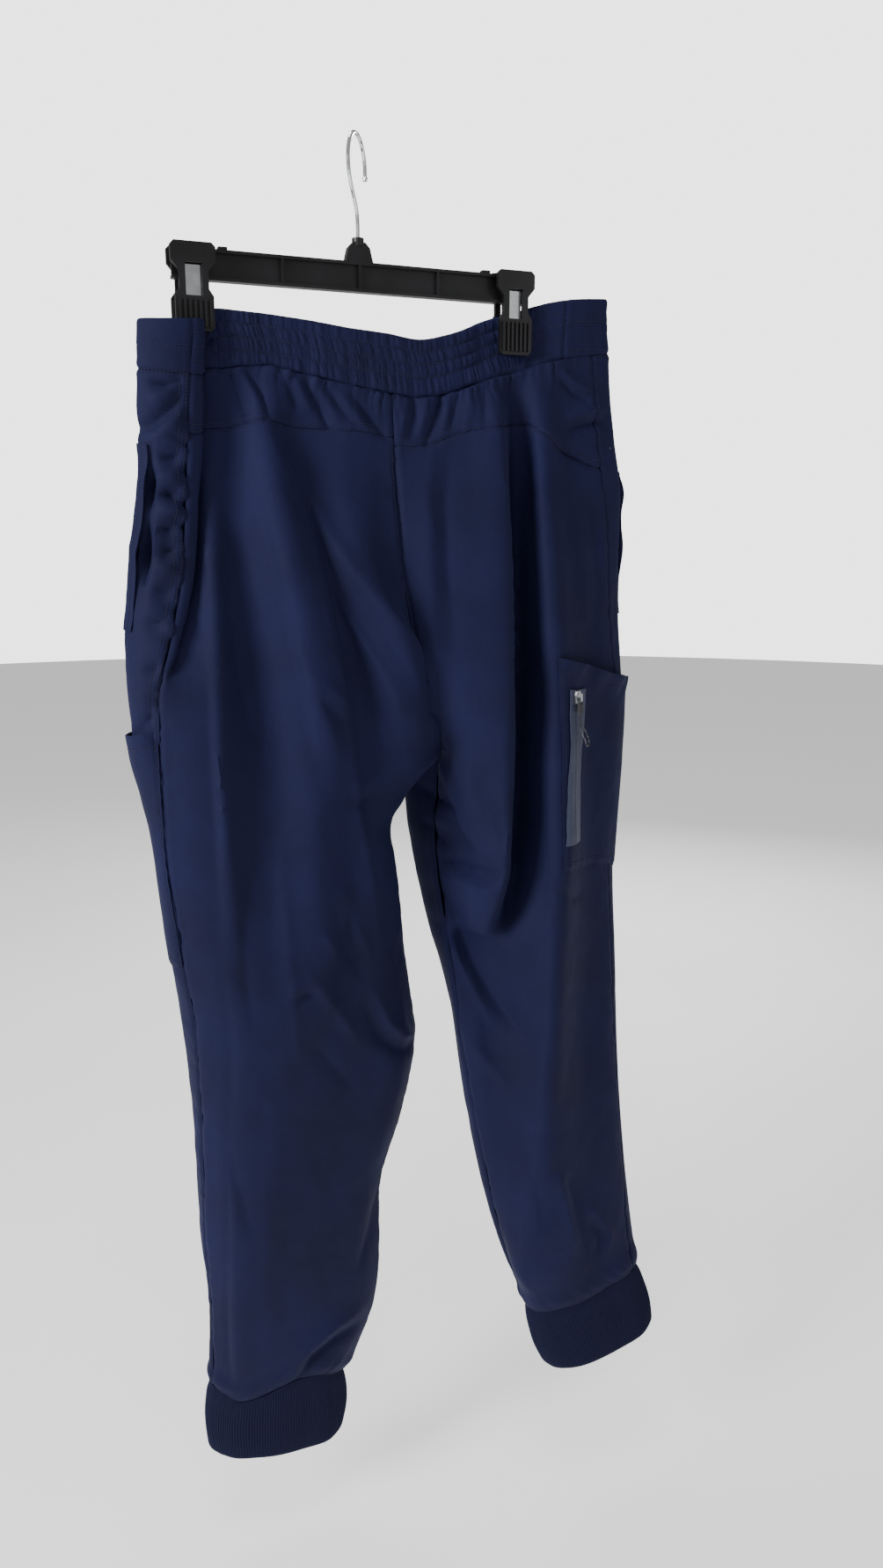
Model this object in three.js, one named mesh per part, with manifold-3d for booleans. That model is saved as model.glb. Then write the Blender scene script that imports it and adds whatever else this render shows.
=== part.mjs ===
// Cargo scrub joggers hung by the waistband from a two-clip trouser hanger.
// Millimetres, +Z up. The origin is the inside of the hook's crown, where the hook rests on its support.
// The back of the garment faces -Y, its front +Y, and the wearer's right is +X.
import * as THREE from 'three';
import { mergeVertices } from 'three/addons/utils/BufferGeometryUtils.js';
import Module from 'manifold-3d';

const wasm = await Module();
wasm.setup();

// ---------------------------------------------------------------- driving dimensions
const SEAM_GAP = 0.3;            // space left between two sewn pieces
const CLOTH_WALL = 1.4;          // legs, yokes and pockets
const BAND_WALL = 2.0;           // waistband, cloth over elastic
const CUFF_WALL = 2.2;           // doubled rib knit
const CROTCH_Z = -508;
const HIP_Z = -275;              // below this height every section of the body is level

const HANGER_LENGTH = 305;
const BAR_TOP_Z = -95;
const BAR_HEIGHT = 23;
const BAR_DEPTH = 9;
const CLIP_X = 137;              // middle of each clip
const CLIP_HEIGHT = 65;
const GRIP_GAP = 3.5;            // from the bar's middle plane to a jaw's inner face
const WIRE_DIAMETER = 3.2;
const HOOK_RADIUS = 22;          // inside radius of the hook
const HOOK_TURN = 35;            // degrees the hook has swivelled from +Y towards +X

// ---------------------------------------------------------------- lines of the garment
// Each line runs down the cloth: a seam, the crest of a fold or the bottom of one.
// at: the heights where it crosses the waist edge, band seam, yoke seam and cuff seam.
// run: its stations, each [height, x, y].
const line = (name, at, run) => ({ name, at, run });

const CENTRE_BACK = [[-150, 23, -9], [-197, 24, -12], [-236, 25, -14], [-280, 26, -18], [-336, 28, -24],
  [-381, 33, -28], [-427, 43, -26], [-468, 56, -18], [-495, 67, -8]];
const CENTRE_FRONT = [[-156, 31, 11], [-200, 31, 14], [-240, 31, 17], [-300, 33, 23], [-345, 36, 26],
  [-405, 44, 27], [-450, 54, 23], [-482, 62, 16], [-500, 69, 9]];
const LEFT_INSEAM = [[-508, 72, 2], [-528, 54, 4], [-550, 36, 5], [-575, 22, 4], [-627, 28, 2], [-680, 33, 2],
  [-725, 38, 2], [-790, 46, 2], [-860, 31, 2], [-940, 9, 4], [-1000, 8, 8], [-1056, 3, 8], [-1100, -12, 6],
  [-1134, -34, 2]];
const RIGHT_INSEAM = [[-508, 75, 3], [-520, 76, 10], [-549, 74, 13], [-591, 71, 10], [-642, 74, 6],
  [-703, 82, -2], [-756, 87, -9], [-845, 96, -21], [-927, 108, -31], [-985, 119, -37], [-1025, 131, -41],
  [-1078, 147, -48]];

const LEFT_LINES = [
  line('centre_back', [-149.5, -197, -233, -1134], [...CENTRE_BACK, ...LEFT_INSEAM]),
  line('inner_ridge', [-147, -191, -228, -1126], [[-147, -10, -9], [-191, -11, -11], [-229, -16, -14],
    [-278, -20, -22], [-324, -12, -34], [-365, 6, -40], [-410, 24, -40], [-454, 38, -34], [-482, 43, -28],
    [-508, 45, -22], [-545, 20, -18], [-575, 8, -17], [-627, 14, -16], [-680, 20, -16], [-725, 26, -16],
    [-790, 33, -16], [-860, 18, -15], [-940, -6, -12], [-1009, -8, -9], [-1085, -20, -11], [-1126, -48, -14]]),
  line('inner_valley', [-143, -184, -226, -1116], [[-143, -46, -8], [-184, -50, -9], [-226, -62, -10],
    [-278, -60, -14], [-321, -46, -18], [-387, -26, -22], [-443, -15, -25], [-508, -18, -30], [-569, -30, -35],
    [-649, -30, -38], [-762, -26, -34], [-865, -44, -30], [-985, -60, -26], [-1080, -72, -24], [-1116, -80, -21]]),
  line('seat_ridge', [-140, -179, -222, -1118], [[-140, -80, -6], [-180, -84, -9], [-222, -87, -18],
    [-287, -81, -30], [-360, -71, -40], [-453, -58, -46], [-519, -56, -48], [-602, -62, -48], [-752, -66, -44],
    [-853, -84, -38], [-972, -94, -32], [-1070, -98, -28], [-1118, -104, -23]]),
  line('seat_valley', [-138.5, -181, -228, -1124], [[-138, -104, -4], [-181, -106, -7], [-228, -112, -7],
    [-269, -116, -10], [-391, -108, -22], [-485, -100, -28], [-525, -98, -32], [-607, -98, -38],
    [-745, -102, -44], [-846, -114, -40], [-964, -120, -34], [-1071, -122, -28], [-1124, -124, -21]]),
  line('outer_ridge', [-138, -183, -229, -1124], [[-138, -119, -2.2], [-160, -119, -2.2], [-183, -121, -4],
    [-229, -129, -6], [-269, -133, -12], [-341, -135, -28], [-410, -137, -37], [-482, -141, -42],
    [-577, -141, -44], [-674, -138, -42], [-742, -134, -40], [-843, -140, -34], [-961, -145, -28],
    [-1072, -148, -21], [-1124, -146, -17]]),
  line('under_flap', [-143, -184, -230, -1121], [[-139, -137, -2.2], [-160, -137, -2.2], [-185, -139, -3.5],
    [-230, -142, -5], [-300, -146, -10], [-345, -149, -15], [-380, -151, -22], [-405, -151, -28.5],
    [-425, -151, -34], [-442, -151, -37.5], [-482, -151, -40.5], [-560, -151, -42], [-670, -146, -39],
    [-745, -142, -36], [-845, -145, -31], [-950, -149, -25], [-1025, -150, -19], [-1121, -150, -15]]),
  line('tuck_in', [-158, -185, -231, -1119], [[-139, -153, -2.2], [-160, -153, -2.2], [-185, -154, -3.5],
    [-230, -156, -5], [-300, -160, -9], [-345, -162, -14], [-380, -164, -19.5], [-405, -164, -25],
    [-425, -162, -31], [-442, -161, -35.5], [-482, -160, -39], [-560, -159, -40], [-670, -152, -37],
    [-745, -147, -34], [-845, -149, -29], [-950, -153, -22], [-1025, -154, -16], [-1119, -153, -13]]),
  line('tuck', [-155, -186, -232, -1117], [[-142, -162, -9], [-160, -162, -9], [-185, -163.5, -9.5],
    [-230, -165, -10], [-300, -169, -13], [-345, -171, -17], [-380, -174, -21.5], [-405, -175, -25.5],
    [-425, -171, -30], [-442, -169, -34], [-482, -167, -37], [-560, -166, -37.5], [-670, -158, -34],
    [-745, -152, -31], [-845, -153, -26], [-950, -156, -19], [-1025, -157, -13], [-1117, -156, -11]]),
  line('tuck_out', [-153, -188, -233, -1115], [[-144, -153, -15.5], [-160, -153, -15.5], [-185, -154, -15],
    [-230, -156, -15.5], [-300, -160, -17.5], [-345, -163, -20.5], [-380, -169, -24.5], [-405, -172.5, -28],
    [-425, -175, -30.7], [-442, -175, -33], [-482, -173, -34.5], [-560, -172, -34.5], [-670, -163, -31],
    [-745, -157, -28], [-845, -157, -22], [-950, -159, -16], [-1025, -159.5, -10], [-1115, -159, -9]]),
  line('flap_fold', [-149, -190, -234, -1113], [[-146, -133, -19], [-160, -133, -19], [-185, -135, -19],
    [-230, -137, -19.5], [-300, -144, -21], [-345, -150, -23.5], [-380, -160, -27], [-405, -169, -30.5],
    [-425, -177.5, -31.8], [-442, -180, -31.5], [-482, -179, -31.5], [-560, -178, -31], [-670, -168, -27],
    [-745, -162, -24], [-845, -161, -18], [-950, -162, -12], [-1025, -161.5, -7], [-1113, -161.5, -6.5]]),
  line('side_seam', [-150, -190, -235, -1111], [[-146, -142, -22.5], [-160, -142, -22.5], [-185, -145, -22.5],
    [-230, -149, -23], [-300, -155, -24.5], [-345, -160, -26.5], [-380, -168, -30], [-405, -175, -32.5],
    [-425, -181, -31.5], [-442, -184, -30], [-482, -184.5, -28], [-560, -184, -26.5], [-670, -174, -21],
    [-745, -166, -18], [-845, -164, -12], [-950, -165, -7], [-1025, -163, -4], [-1111, -164, -4]]),
  line('flap', [-151, -189, -235, -1110], [[-146, -163, -22], [-185, -165, -22.5], [-230, -168, -23],
    [-300, -176, -24], [-345, -182, -25], [-380, -188, -26], [-405, -192, -26], [-425, -195, -25],
    [-442, -197, -23], [-482, -197, -19], [-560, -190, -17], [-670, -180, -12], [-745, -171, -9],
    [-845, -167, -5], [-950, -167, 0], [-1025, -164, 1], [-1110, -166, 0]]),
  line('outer_left', [-151.5, -187, -236, -1110], [[-146, -181.5, -11], [-185, -183, -12], [-230, -186, -12],
    [-253, -185, -12], [-306, -192, -10], [-345, -197.5, -8], [-405, -204.5, -6], [-482, -203.5, -4],
    [-560, -191.5, -2], [-665, -181, 1], [-745, -173.5, 3], [-845, -168, 5], [-950, -167.5, 7], [-1025, -163, 7],
    [-1110, -166, 6]]),
  line('round_left', [-157, -185, -236, -1112], [[-146, -165, -2], [-160, -167, -1], [-185, -174, 2], [-230, -178, 3],
    [-300, -185, 8], [-345, -190, 10], [-405, -196, 13], [-482, -195, 18], [-560, -182, 21], [-670, -172, 22],
    [-745, -163, 23], [-845, -160, 21], [-950, -160, 19], [-1025, -157, 18], [-1112, -160, 13]]),
  line('front_a', [-150, -182, -236, -1116], [[-142, -124, 1.5], [-160, -125, 1.5], [-185, -130, 6],
    [-230, -136, 12], [-300, -142, 22], [-345, -145, 27], [-405, -150, 31], [-482, -150, 35], [-560, -148, 36],
    [-670, -140, 35], [-745, -132, 34], [-845, -130, 31], [-950, -133, 27], [-1025, -134, 24],
    [-1116, -136, 20]]),
  line('front_b', [-146, -186, -236, -1118], [[-146, -75, 7], [-185, -78, 12], [-230, -82, 20], [-300, -86, 24],
    [-345, -88, 26], [-405, -92, 32], [-482, -96, 40], [-560, -98, 42], [-670, -90, 40], [-745, -84, 38],
    [-845, -86, 34], [-950, -92, 29], [-1025, -96, 26], [-1118, -98, 21]]),
  line('front_c', [-152, -193, -237, -1121], [[-152, -24, 9], [-193, -25, 13], [-237, -26, 18], [-300, -24, 30],
    [-345, -22, 34], [-405, -20, 38], [-482, -20, 38], [-560, -40, 36], [-670, -32, 34], [-745, -24, 32],
    [-845, -36, 29], [-950, -50, 25], [-1025, -52, 24], [-1121, -62, 18]]),
  line('front_d', [-155, -198, -238, -1129], [[-155, 8, 10], [-198, 8, 14], [-237, 8, 16], [-300, 10, 24],
    [-405, 26, 31], [-450, 38, 29], [-482, 44, 25], [-508, 48, 20], [-530, 34, 20], [-560, 14, 20],
    [-627, 15, 19], [-680, 20, 18], [-745, 28, 18], [-790, 32, 18], [-860, 17, 17], [-940, -5, 18],
    [-1000, -8, 20], [-1056, -12, 19], [-1129, -44, 15]]),
  line('centre_front', [-156, -200, -239, -1134], [...CENTRE_FRONT, ...LEFT_INSEAM]),
];

const RIGHT_LINES = [
  line('centre_back', [-149.5, -197, -239, -1078], [...CENTRE_BACK, ...RIGHT_INSEAM]),
  line('seam_strip', [-152.5, -199, -239, -1078], [[-152, 50, -9], [-198, 47, -12], [-238, 51, -16],
    [-277, 50, -22], [-336, 49, -30], [-396, 51, -33], [-443, 58, -28], [-485, 69, -17], [-508, 80, -9],
    [-545, 88, -3], [-590, 96, -5], [-620, 93, -8], [-650, 88, -12], [-673, 88, -11], [-692, 90, -3],
    [-728, 96, -9], [-780, 99, -21], [-870, 106, -33], [-930, 112, -39], [-985, 120, -44], [-1025, 129, -47],
    [-1078, 146, -54]]),
  line('seat_swell', [-146, -192, -227, -1078], [[-146, 80, -8], [-190, 84, -10], [-227, 88, -20],
    [-277, 85, -28], [-336, 82, -36], [-396, 80, -42], [-458, 82, -42], [-508, 89, -38], [-545, 97, -34],
    [-590, 104, -34], [-620, 103, -31], [-650, 95, -36], [-673, 94, -28], [-692, 101, -8], [-728, 108, -14],
    [-780, 112, -25], [-870, 115, -40], [-930, 118, -47], [-985, 122, -51], [-1025, 128, -53],
    [-1078, 148, -60]]),
  line('pleat_edge', [-131, -179, -222, -1078], [[-131, 119, -2.2], [-161, 120, -2.2], [-180, 122, -9],
    [-218, 119, -24], [-277, 117, -34], [-382, 116, -44], [-459, 117, -50], [-522, 115, -53], [-579, 113, -55],
    [-613, 113, -54], [-646, 107, -48], [-673, 102, -38], [-692, 114, -20], [-728, 122, -26], [-780, 126, -34],
    [-870, 125, -48], [-930, 124, -55], [-985, 125, -58], [-1025, 128, -59], [-1078, 151, -65]]),
  line('pleat_bottom', [-126, -175, -218, -1077], [[-126, 137, -2.2], [-161, 137, -2.2], [-178, 138, -5],
    [-216, 142, -4], [-276, 148, -2], [-386, 152, 0], [-469, 153, 1], [-536, 152, 0], [-595, 149, -4],
    [-628, 145, -11], [-660, 135, -18], [-692, 130, -36], [-728, 136, -42], [-780, 137, -46], [-870, 133, -56],
    [-930, 130, -62], [-985, 128, -64], [-1025, 129, -65], [-1077, 156, -69]]),
  line('pleat_facet', [-122.5, -172, -218, -1076], [[-123, 148, -2.2], [-161, 148, -2.2], [-172, 147, -6],
    [-216, 150, -8], [-276, 155, -11], [-385, 157, -17], [-466, 159, -19], [-548, 159, -25], [-622, 156, -37],
    [-692, 148, -50], [-728, 149, -54], [-780, 147, -58], [-870, 141, -64], [-930, 135, -69], [-985, 131, -70],
    [-1025, 131, -70], [-1076, 162, -72]]),
  line('crease', [-119.5, -169, -222, -1074], [[-119, 157, -2.2], [-161, 156, -2.2], [-172, 156, -8],
    [-216, 156, -18], [-261, 156, -24], [-337, 160, -34], [-419, 165, -42], [-503, 168, -46], [-619, 167, -54],
    [-694, 162, -59], [-780, 155, -66], [-867, 148, -71], [-929, 140, -74], [-985, 135, -74], [-1025, 137, -74],
    [-1074, 170, -75]]),
  line('side_panel', [-112, -161, -243, -1063], [[-112, 190, -6], [-161, 187, -8], [-215, 189, -14],
    [-276, 195, -18], [-338, 202, -22], [-423, 209, -24], [-511, 214, -24], [-631, 215, -29], [-728, 210, -36],
    [-817, 206, -48], [-908, 208, -60], [-1005, 214, -72], [-1063, 222, -78]]),
  line('side_seam', [-109, -156, -254, -1056], [[-110, 216, -5], [-156, 217, -6], [-226, 223, -10],
    [-260, 229, -10], [-307, 235, -10], [-380, 241, -10], [-443, 249, -8], [-516, 254, -8], [-595, 249, -10],
    [-639, 247, -14], [-730, 249, -22], [-831, 250, -34], [-926, 253, -47], [-1000, 255, -58],
    [-1056, 257, -71]]),
  line('outer_right', [-107.5, -153, -252, -1054], [[-108, 234, 2], [-181, 239.5, 2], [-227, 246, 2],
    [-283, 256, 4], [-315, 256, 4], [-373, 258, 6], [-441, 265, 8], [-476, 268.5, 8], [-538, 267, 7],
    [-600, 262, 3], [-645, 259, 0], [-745, 260, -10], [-838, 260, -20], [-934, 263, -32], [-1000, 266, -46],
    [-1054, 267, -62]]),
  line('round_right', [-110, -154, -250, -1056], [[-110, 224, 7], [-181, 230, 10], [-227, 236, 13],
    [-283, 245, 16], [-373, 247, 20], [-441, 255, 22], [-538, 258, 23], [-600, 254, 20], [-645, 250, 17],
    [-745, 249, 8], [-838, 249, -2], [-934, 251, -14], [-1000, 254, -28], [-1056, 257, -50]]),
  line('front_e', [-121, -162, -248, -1063], [[-121, 160, 2.2], [-161, 161, 2.2], [-190, 178, 10], [-230, 194, 19],
    [-300, 202, 27], [-380, 208, 31], [-480, 214, 34], [-545, 214, 36], [-620, 212, 34], [-700, 208, 28],
    [-780, 205, 20], [-870, 205, 8], [-950, 209, -6], [-1010, 214, -22], [-1063, 220, -44]]),
  line('front_f', [-135, -178, -244, -1071], [[-135, 118, 2.2], [-161, 119, 2.2], [-190, 126, 12], [-230, 138, 20],
    [-300, 148, 22], [-380, 152, 30], [-480, 152, 40], [-545, 150, 44], [-620, 150, 42], [-700, 150, 36],
    [-780, 150, 26], [-870, 150, 12], [-950, 158, -3], [-1010, 168, -17], [-1071, 184, -40]]),
  line('front_g', [-150, -194, -241, -1075], [[-150, 80, 8], [-197, 82, 14], [-236, 85, 18], [-300, 88, 30],
    [-380, 92, 36], [-450, 98, 40], [-508, 102, 44], [-545, 94, 48], [-620, 96, 46], [-700, 104, 38],
    [-780, 110, 26], [-870, 114, 11], [-950, 124, -5], [-1010, 138, -20], [-1075, 159, -42]]),
  line('inner_front', [-154.5, -199, -240, -1078], [[-154, 54, 10], [-197, 55, 14], [-240, 56, 18],
    [-300, 57, 27], [-380, 62, 33], [-450, 72, 33], [-485, 78, 30], [-508, 72, 28], [-530, 60, 36],
    [-558, 53, 42], [-606, 58, 39], [-650, 65, 33], [-685, 72, 28], [-719, 80, 19], [-771, 88, 5],
    [-850, 94, -9], [-932, 106, -22], [-985, 117, -29], [-1029, 130, -35], [-1078, 149, -43]]),
  line('centre_front', [-156, -200, -239, -1078], [...CENTRE_FRONT, ...RIGHT_INSEAM]),
];

const indexOf = (lines, name) => lines.findIndex((one) => one.name === name);

// ---------------------------------------------------------------- reading the lines
const lerp = THREE.MathUtils.lerp;

// Slope of a smooth curve through three values that never overshoots them.
function gentleSlope(stepA, stepB, riseA, riseB) {
  if (riseA * riseB <= 0) return 0;
  const weightA = 2 * stepB + stepA;
  const weightB = stepB + 2 * stepA;
  return (weightA + weightB) / (weightA / riseA + weightB / riseB);
}

// Value in column c of a run at height z.
function readRun(run, c, z) {
  const last = run.length - 1;
  if (z >= run[0][0]) return run[0][c];
  if (z <= run[last][0]) return run[last][c];
  let i = 0;
  while (z < run[i + 1][0]) i += 1;
  const rise = (k) => (run[k + 1][c] - run[k][c]) / (run[k + 1][0] - run[k][0]);
  const step = (k) => run[k][0] - run[k + 1][0];
  const slope = (k) => {
    if (k === 0) return rise(0);
    if (k === last) return rise(last - 1);
    return gentleSlope(step(k - 1), step(k), rise(k - 1), rise(k));
  };
  const h = run[i + 1][0] - run[i][0];
  const t = (z - run[i][0]) / h;
  const a = run[i][c];
  const b = run[i + 1][c];
  const startPull = h * slope(i) * t * (1 - t) * (1 - t);
  const endPull = -h * slope(i + 1) * t * t * (1 - t);
  return a + (b - a) * t * t * (3 - 2 * t) + startPull + endPull;
}

// Rows are numbered down the garment: 0 waist edge, 1 band seam, 2 yoke seam, 3 hip, 4 crotch, 5 cuff seam.
function heightAt(one, row) {
  const [waist, band, yoke, cuff] = one.at;
  const marks = [waist, band, yoke, HIP_Z, CROTCH_Z, cuff];
  const i = Math.min(Math.floor(row), 4);
  return lerp(marks[i], marks[i + 1], row - i);
}

function pointOn(one, row) {
  const z = heightAt(one, row);
  return new THREE.Vector3(readRun(one.run, 1, z), readRun(one.run, 2, z), z);
}

// Points of a whole section at one row, with a ghost before and after so that the curve's ends turn
// as the cloth does: into the other half above the crotch, and round the leg below it.
function sectionPoints(lines, otherLines, row) {
  const points = lines.map((one) => pointOn(one, row));
  const last = lines.length - 1;
  const ghosts = row < 3.96
    ? [pointOn(otherLines[1], row), pointOn(otherLines[otherLines.length - 2], row)]
    : [points[last - 1], points[1]];
  return [ghosts[0], ...points, ghosts[1]];
}

// Smooth curve through the section: place counts along its lines, 0 at the first.
function pointOnSection(points, place) {
  const count = points.length - 3;
  const i = Math.min(Math.floor(place), count - 1);
  const t = place - i;
  const [p, a, b, n] = points.slice(i, i + 4);
  const before = a.distanceTo(p);
  const span = b.distanceTo(a);
  const after = n.distanceTo(b);
  const tangent = (from, mid, to, d0, d1) => {
    const inward = mid.clone().sub(from).multiplyScalar(d1 / d0);
    const outward = to.clone().sub(mid).multiplyScalar(d0 / d1);
    return inward.add(outward).divideScalar(d0 + d1);
  };
  const startPull = tangent(p, a, b, before, span).multiplyScalar(span * t * (1 - t) * (1 - t));
  const endPull = tangent(a, b, n, span, after).multiplyScalar(-span * t * t * (1 - t));
  return a.clone().lerp(b, t * t * (3 - 2 * t)).add(startPull).add(endPull);
}

// ---------------------------------------------------------------- the two halves and the whole ring
const LEFT_LAST = LEFT_LINES.length - 1;
const RIGHT_LAST = RIGHT_LINES.length - 1;
const LEFT_SIDE = indexOf(LEFT_LINES, 'side_seam');
const RIGHT_SIDE = indexOf(RIGHT_LINES, 'side_seam');
const RIGHT_PANEL = indexOf(RIGHT_LINES, 'side_panel');
const sectionCache = new Map();

function sectionOf(half, row) {
  const key = `${half}${row}`;
  if (!sectionCache.has(key)) {
    const pair = half === 'left' ? [LEFT_LINES, RIGHT_LINES] : [RIGHT_LINES, LEFT_LINES];
    sectionCache.set(key, sectionPoints(...pair, row));
  }
  return sectionCache.get(key);
}

const leftCloth = (place, row) => pointOnSection(sectionOf('left', row), place);
const rightCloth = (place, row) => pointOnSection(sectionOf('right', row), place);

// The whole ring at the waist, from the left half's places (below 0) to the right half's (above 0).
const backRing = (place, row) => (place < 0 ? leftCloth(-place, row) : rightCloth(place, row));
const frontRing = (place, row) => (place < 0
  ? leftCloth(LEFT_LAST + place, row)
  : rightCloth(RIGHT_LAST - place, row));

// ---------------------------------------------------------------- solids
function toGeometry(solid) {
  const { vertProperties, triVerts } = solid.getMesh();
  const geometry = new THREE.BufferGeometry();
  geometry.setAttribute('position', new THREE.BufferAttribute(new Float32Array(vertProperties), 3));
  geometry.setIndex(new THREE.BufferAttribute(new Uint32Array(triVerts), 1));
  return geometry;
}

function closed(geometry, tolerance = 1e-4) {
  geometry.deleteAttribute('normal');
  geometry.deleteAttribute('uv');
  return mergeVertices(geometry, tolerance);
}

function toSolid(geometry) {
  const merged = closed(geometry);
  return new wasm.Manifold(new wasm.Mesh({
    numProp: 3,
    vertProperties: new Float32Array(merged.attributes.position.array),
    triVerts: new Uint32Array(merged.index.array),
  }));
}

// A wall of cloth: a box divided into columns and rows, each of whose corners is carried on to the
// surface and moved along its normal by its share of the thickness.
function clothWall(surface, columns, rows, wall) {
  const geometry = closed(new THREE.BoxGeometry(1, 1, 1, columns, rows, 1));
  const position = geometry.attributes.position;
  for (let i = 0; i < position.count; i += 1) {
    const u = position.getX(i) + 0.5;
    const v = 0.5 - position.getY(i);
    const point = surface(u, v).addScaledVector(normalOf(surface, u, v), position.getZ(i) * wall);
    position.setXYZ(i, point.x, point.y, point.z);
  }
  return geometry;
}

function normalOf(surface, u, v) {
  const step = 0.01;
  const across = surface(Math.min(u + step, 1), v).sub(surface(Math.max(u - step, 0), v));
  const down = surface(u, Math.min(v + step, 1)).sub(surface(u, Math.max(v - step, 0)));
  return down.cross(across).normalize();
}

// Value at share t along a list whose entries are evenly spaced.
function along(values, t) {
  const at = t * (values.length - 1);
  const i = Math.min(Math.floor(at), values.length - 2);
  return lerp(values[i], values[i + 1], at - i);
}

// Places from one line to another, evenly spaced.
const places = (first, last, columns) => Array.from(
  { length: columns + 1 },
  (_, i) => first + (i * (last - first)) / columns,
);

// ---------------------------------------------------------------- columns and rows of the pieces
// Two columns between neighbouring lines where the cloth shows folds, fewer elsewhere.
const LEFT_BACK = [...places(0, 5, 10), 6, ...places(7, 9, 4), 10, 11];
const LEFT_FRONT = [...places(11, 15, 8), ...places(15, 19, 6).slice(1)];
const RIGHT_BACK = places(0, 8, 16);
const RIGHT_FRONT = [...places(8, 11, 6), ...places(11, 14, 4).slice(1), 15];
const ROW_GAP = 0.006;           // keeps a piece's edge just short of a seam near the waist
const CUFF_ROW_GAP = 0.0003;
const HIP_LEVELS = [-315, -345, -380, -405, -425, -442, -462, -482, -500];
const LEG_SHARES = {
  left: [0.02, 0.06, 0.11, 0.17, 0.24, 0.33, 0.42, 0.52, 0.62, 0.72, 0.82, 0.92],
  right: [0.02, 0.065, 0.144, 0.196, 0.249, 0.289, 0.323, 0.386, 0.477, 0.635, 0.74, 0.837, 0.907],
};
const hipRow = (z) => 3 + (HIP_Z - z) / (HIP_Z - CROTCH_Z);
const shareRow = (share) => 4 + share;
const legRows = (half) => [3, ...HIP_LEVELS.map(hipRow), 4, ...LEG_SHARES[half].map(shareRow), 5 - CUFF_ROW_GAP];
const backLegRows = (half) => [2 + ROW_GAP, ...legRows(half)];
const frontLegRows = (half) => [1 + ROW_GAP, 1.5, 2, ...legRows(half)];
const YOKE_ROWS = [1 + ROW_GAP, 1.5, 2 - ROW_GAP];
const BAND_ROWS = [0, 0.4, 0.6, 0.78, 1 - ROW_GAP];

// Distance of a panel's side edge from its seam line. The seams that meet at the crotch turn sharply
// there, and the inseams are folds in a flat leg, so the walls stand a little further back.
function edgeSetback(place, row) {
  const straight = 0.5 * SEAM_GAP;
  if (place !== 0 && place !== LEFT_LAST && place !== RIGHT_LAST) return straight;
  const fromCrotch = Math.min(Math.abs(row - 4) / 0.25, 1);
  const away = row > 4 ? 0.4 : straight;
  return lerp(1.9, away, fromCrotch);
}

// A place moved along the section towards the inside of its own piece.
function inset(half, place, row, direction) {
  const points = sectionOf(half, row);
  const here = points[place + 1];
  const next = points[place + 1 + direction];
  return place + (direction * edgeSetback(place, row)) / here.distanceTo(next);
}

// A panel of one half through the given places, with its side edges just short of the seams.
function panel(half, columns, rows, wall = CLOTH_WALL) {
  const cloth = half === 'left' ? leftCloth : rightCloth;
  const last = columns[columns.length - 1];
  const surface = (u, v) => {
    const row = along(rows, v);
    const start = inset(half, columns[0], row, 1);
    const end = inset(half, last, row, -1);
    return cloth(Math.min(Math.max(along(columns, u), start), end), row);
  };
  return clothWall(surface, columns.length - 1, rows.length - 1, wall);
}

// The waistband runs across both halves: place is negative on the left half.
const backwards = (columns) => columns.map((place) => -place).reverse();
const FRONT_BAND = [
  ...LEFT_FRONT.map((place) => place - LEFT_LAST),
  ...[...RIGHT_FRONT, ...places(RIGHT_PANEL, RIGHT_SIDE, 2).slice(0, 2)]
    .map((place) => RIGHT_LAST - place).sort((a, b) => a - b).slice(1),
];
const BAND_END = 0.02;
function band(ring, columns) {
  const last = columns.length - 1;
  const ends = [columns[0] + BAND_END, ...columns.slice(1, last), columns[last] - BAND_END];
  const surface = (u, v) => ring(along(ends, u), along(BAND_ROWS, v));
  return clothWall(surface, last, BAND_ROWS.length - 1, BAND_WALL);
}

// ---------------------------------------------------------------- cuffs
const CUFF_SEAM_GAP = 0.8;
const CUFF_COLUMNS = 26;
const CUFFS = {
  left: { last: LEFT_LAST, bottomOuter: -1190, bottomInner: -1198, slideX: -3, slideY: 0, roundRise: 7 },
  right: { last: RIGHT_LAST, bottomOuter: -1137, bottomInner: -1143, slideX: 17, slideY: -7, roundRise: 8 },
};

// A cuff hangs from the leg's lower edge and is rounded at the two ends of its flat.
function cuff(half) {
  const { last, bottomOuter, bottomInner, slideX, slideY, roundRise } = CUFFS[half];
  const cloth = half === 'left' ? leftCloth : rightCloth;
  const inner = cloth(0, 5);
  const outer = cloth(indexOf(half === 'left' ? LEFT_LINES : RIGHT_LINES, `outer_${half}`), 5);
  const surface = (u, v) => {
    const top = cloth(lerp(inset(half, 0, 5, 1), inset(half, last, 5, -1), u), 5);
    const share = (top.x - inner.x) / (outer.x - inner.x);
    const corner = Math.abs(2 * share - 1) ** 6;
    const bottom = lerp(bottomInner, bottomOuter, share) + roundRise * corner;
    const start = top.z - CUFF_SEAM_GAP;
    const swell = 1 + 0.06 * Math.sin(Math.PI * v);
    const middle = 0.5 * (inner.x + outer.x);
    const x = lerp(top.x, middle + (top.x - middle) * swell, 1) + slideX * v;
    return new THREE.Vector3(x, top.y + slideY * v, lerp(start, bottom, v));
  };
  return clothWall(surface, CUFF_COLUMNS, 2, CUFF_WALL);
}

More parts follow.
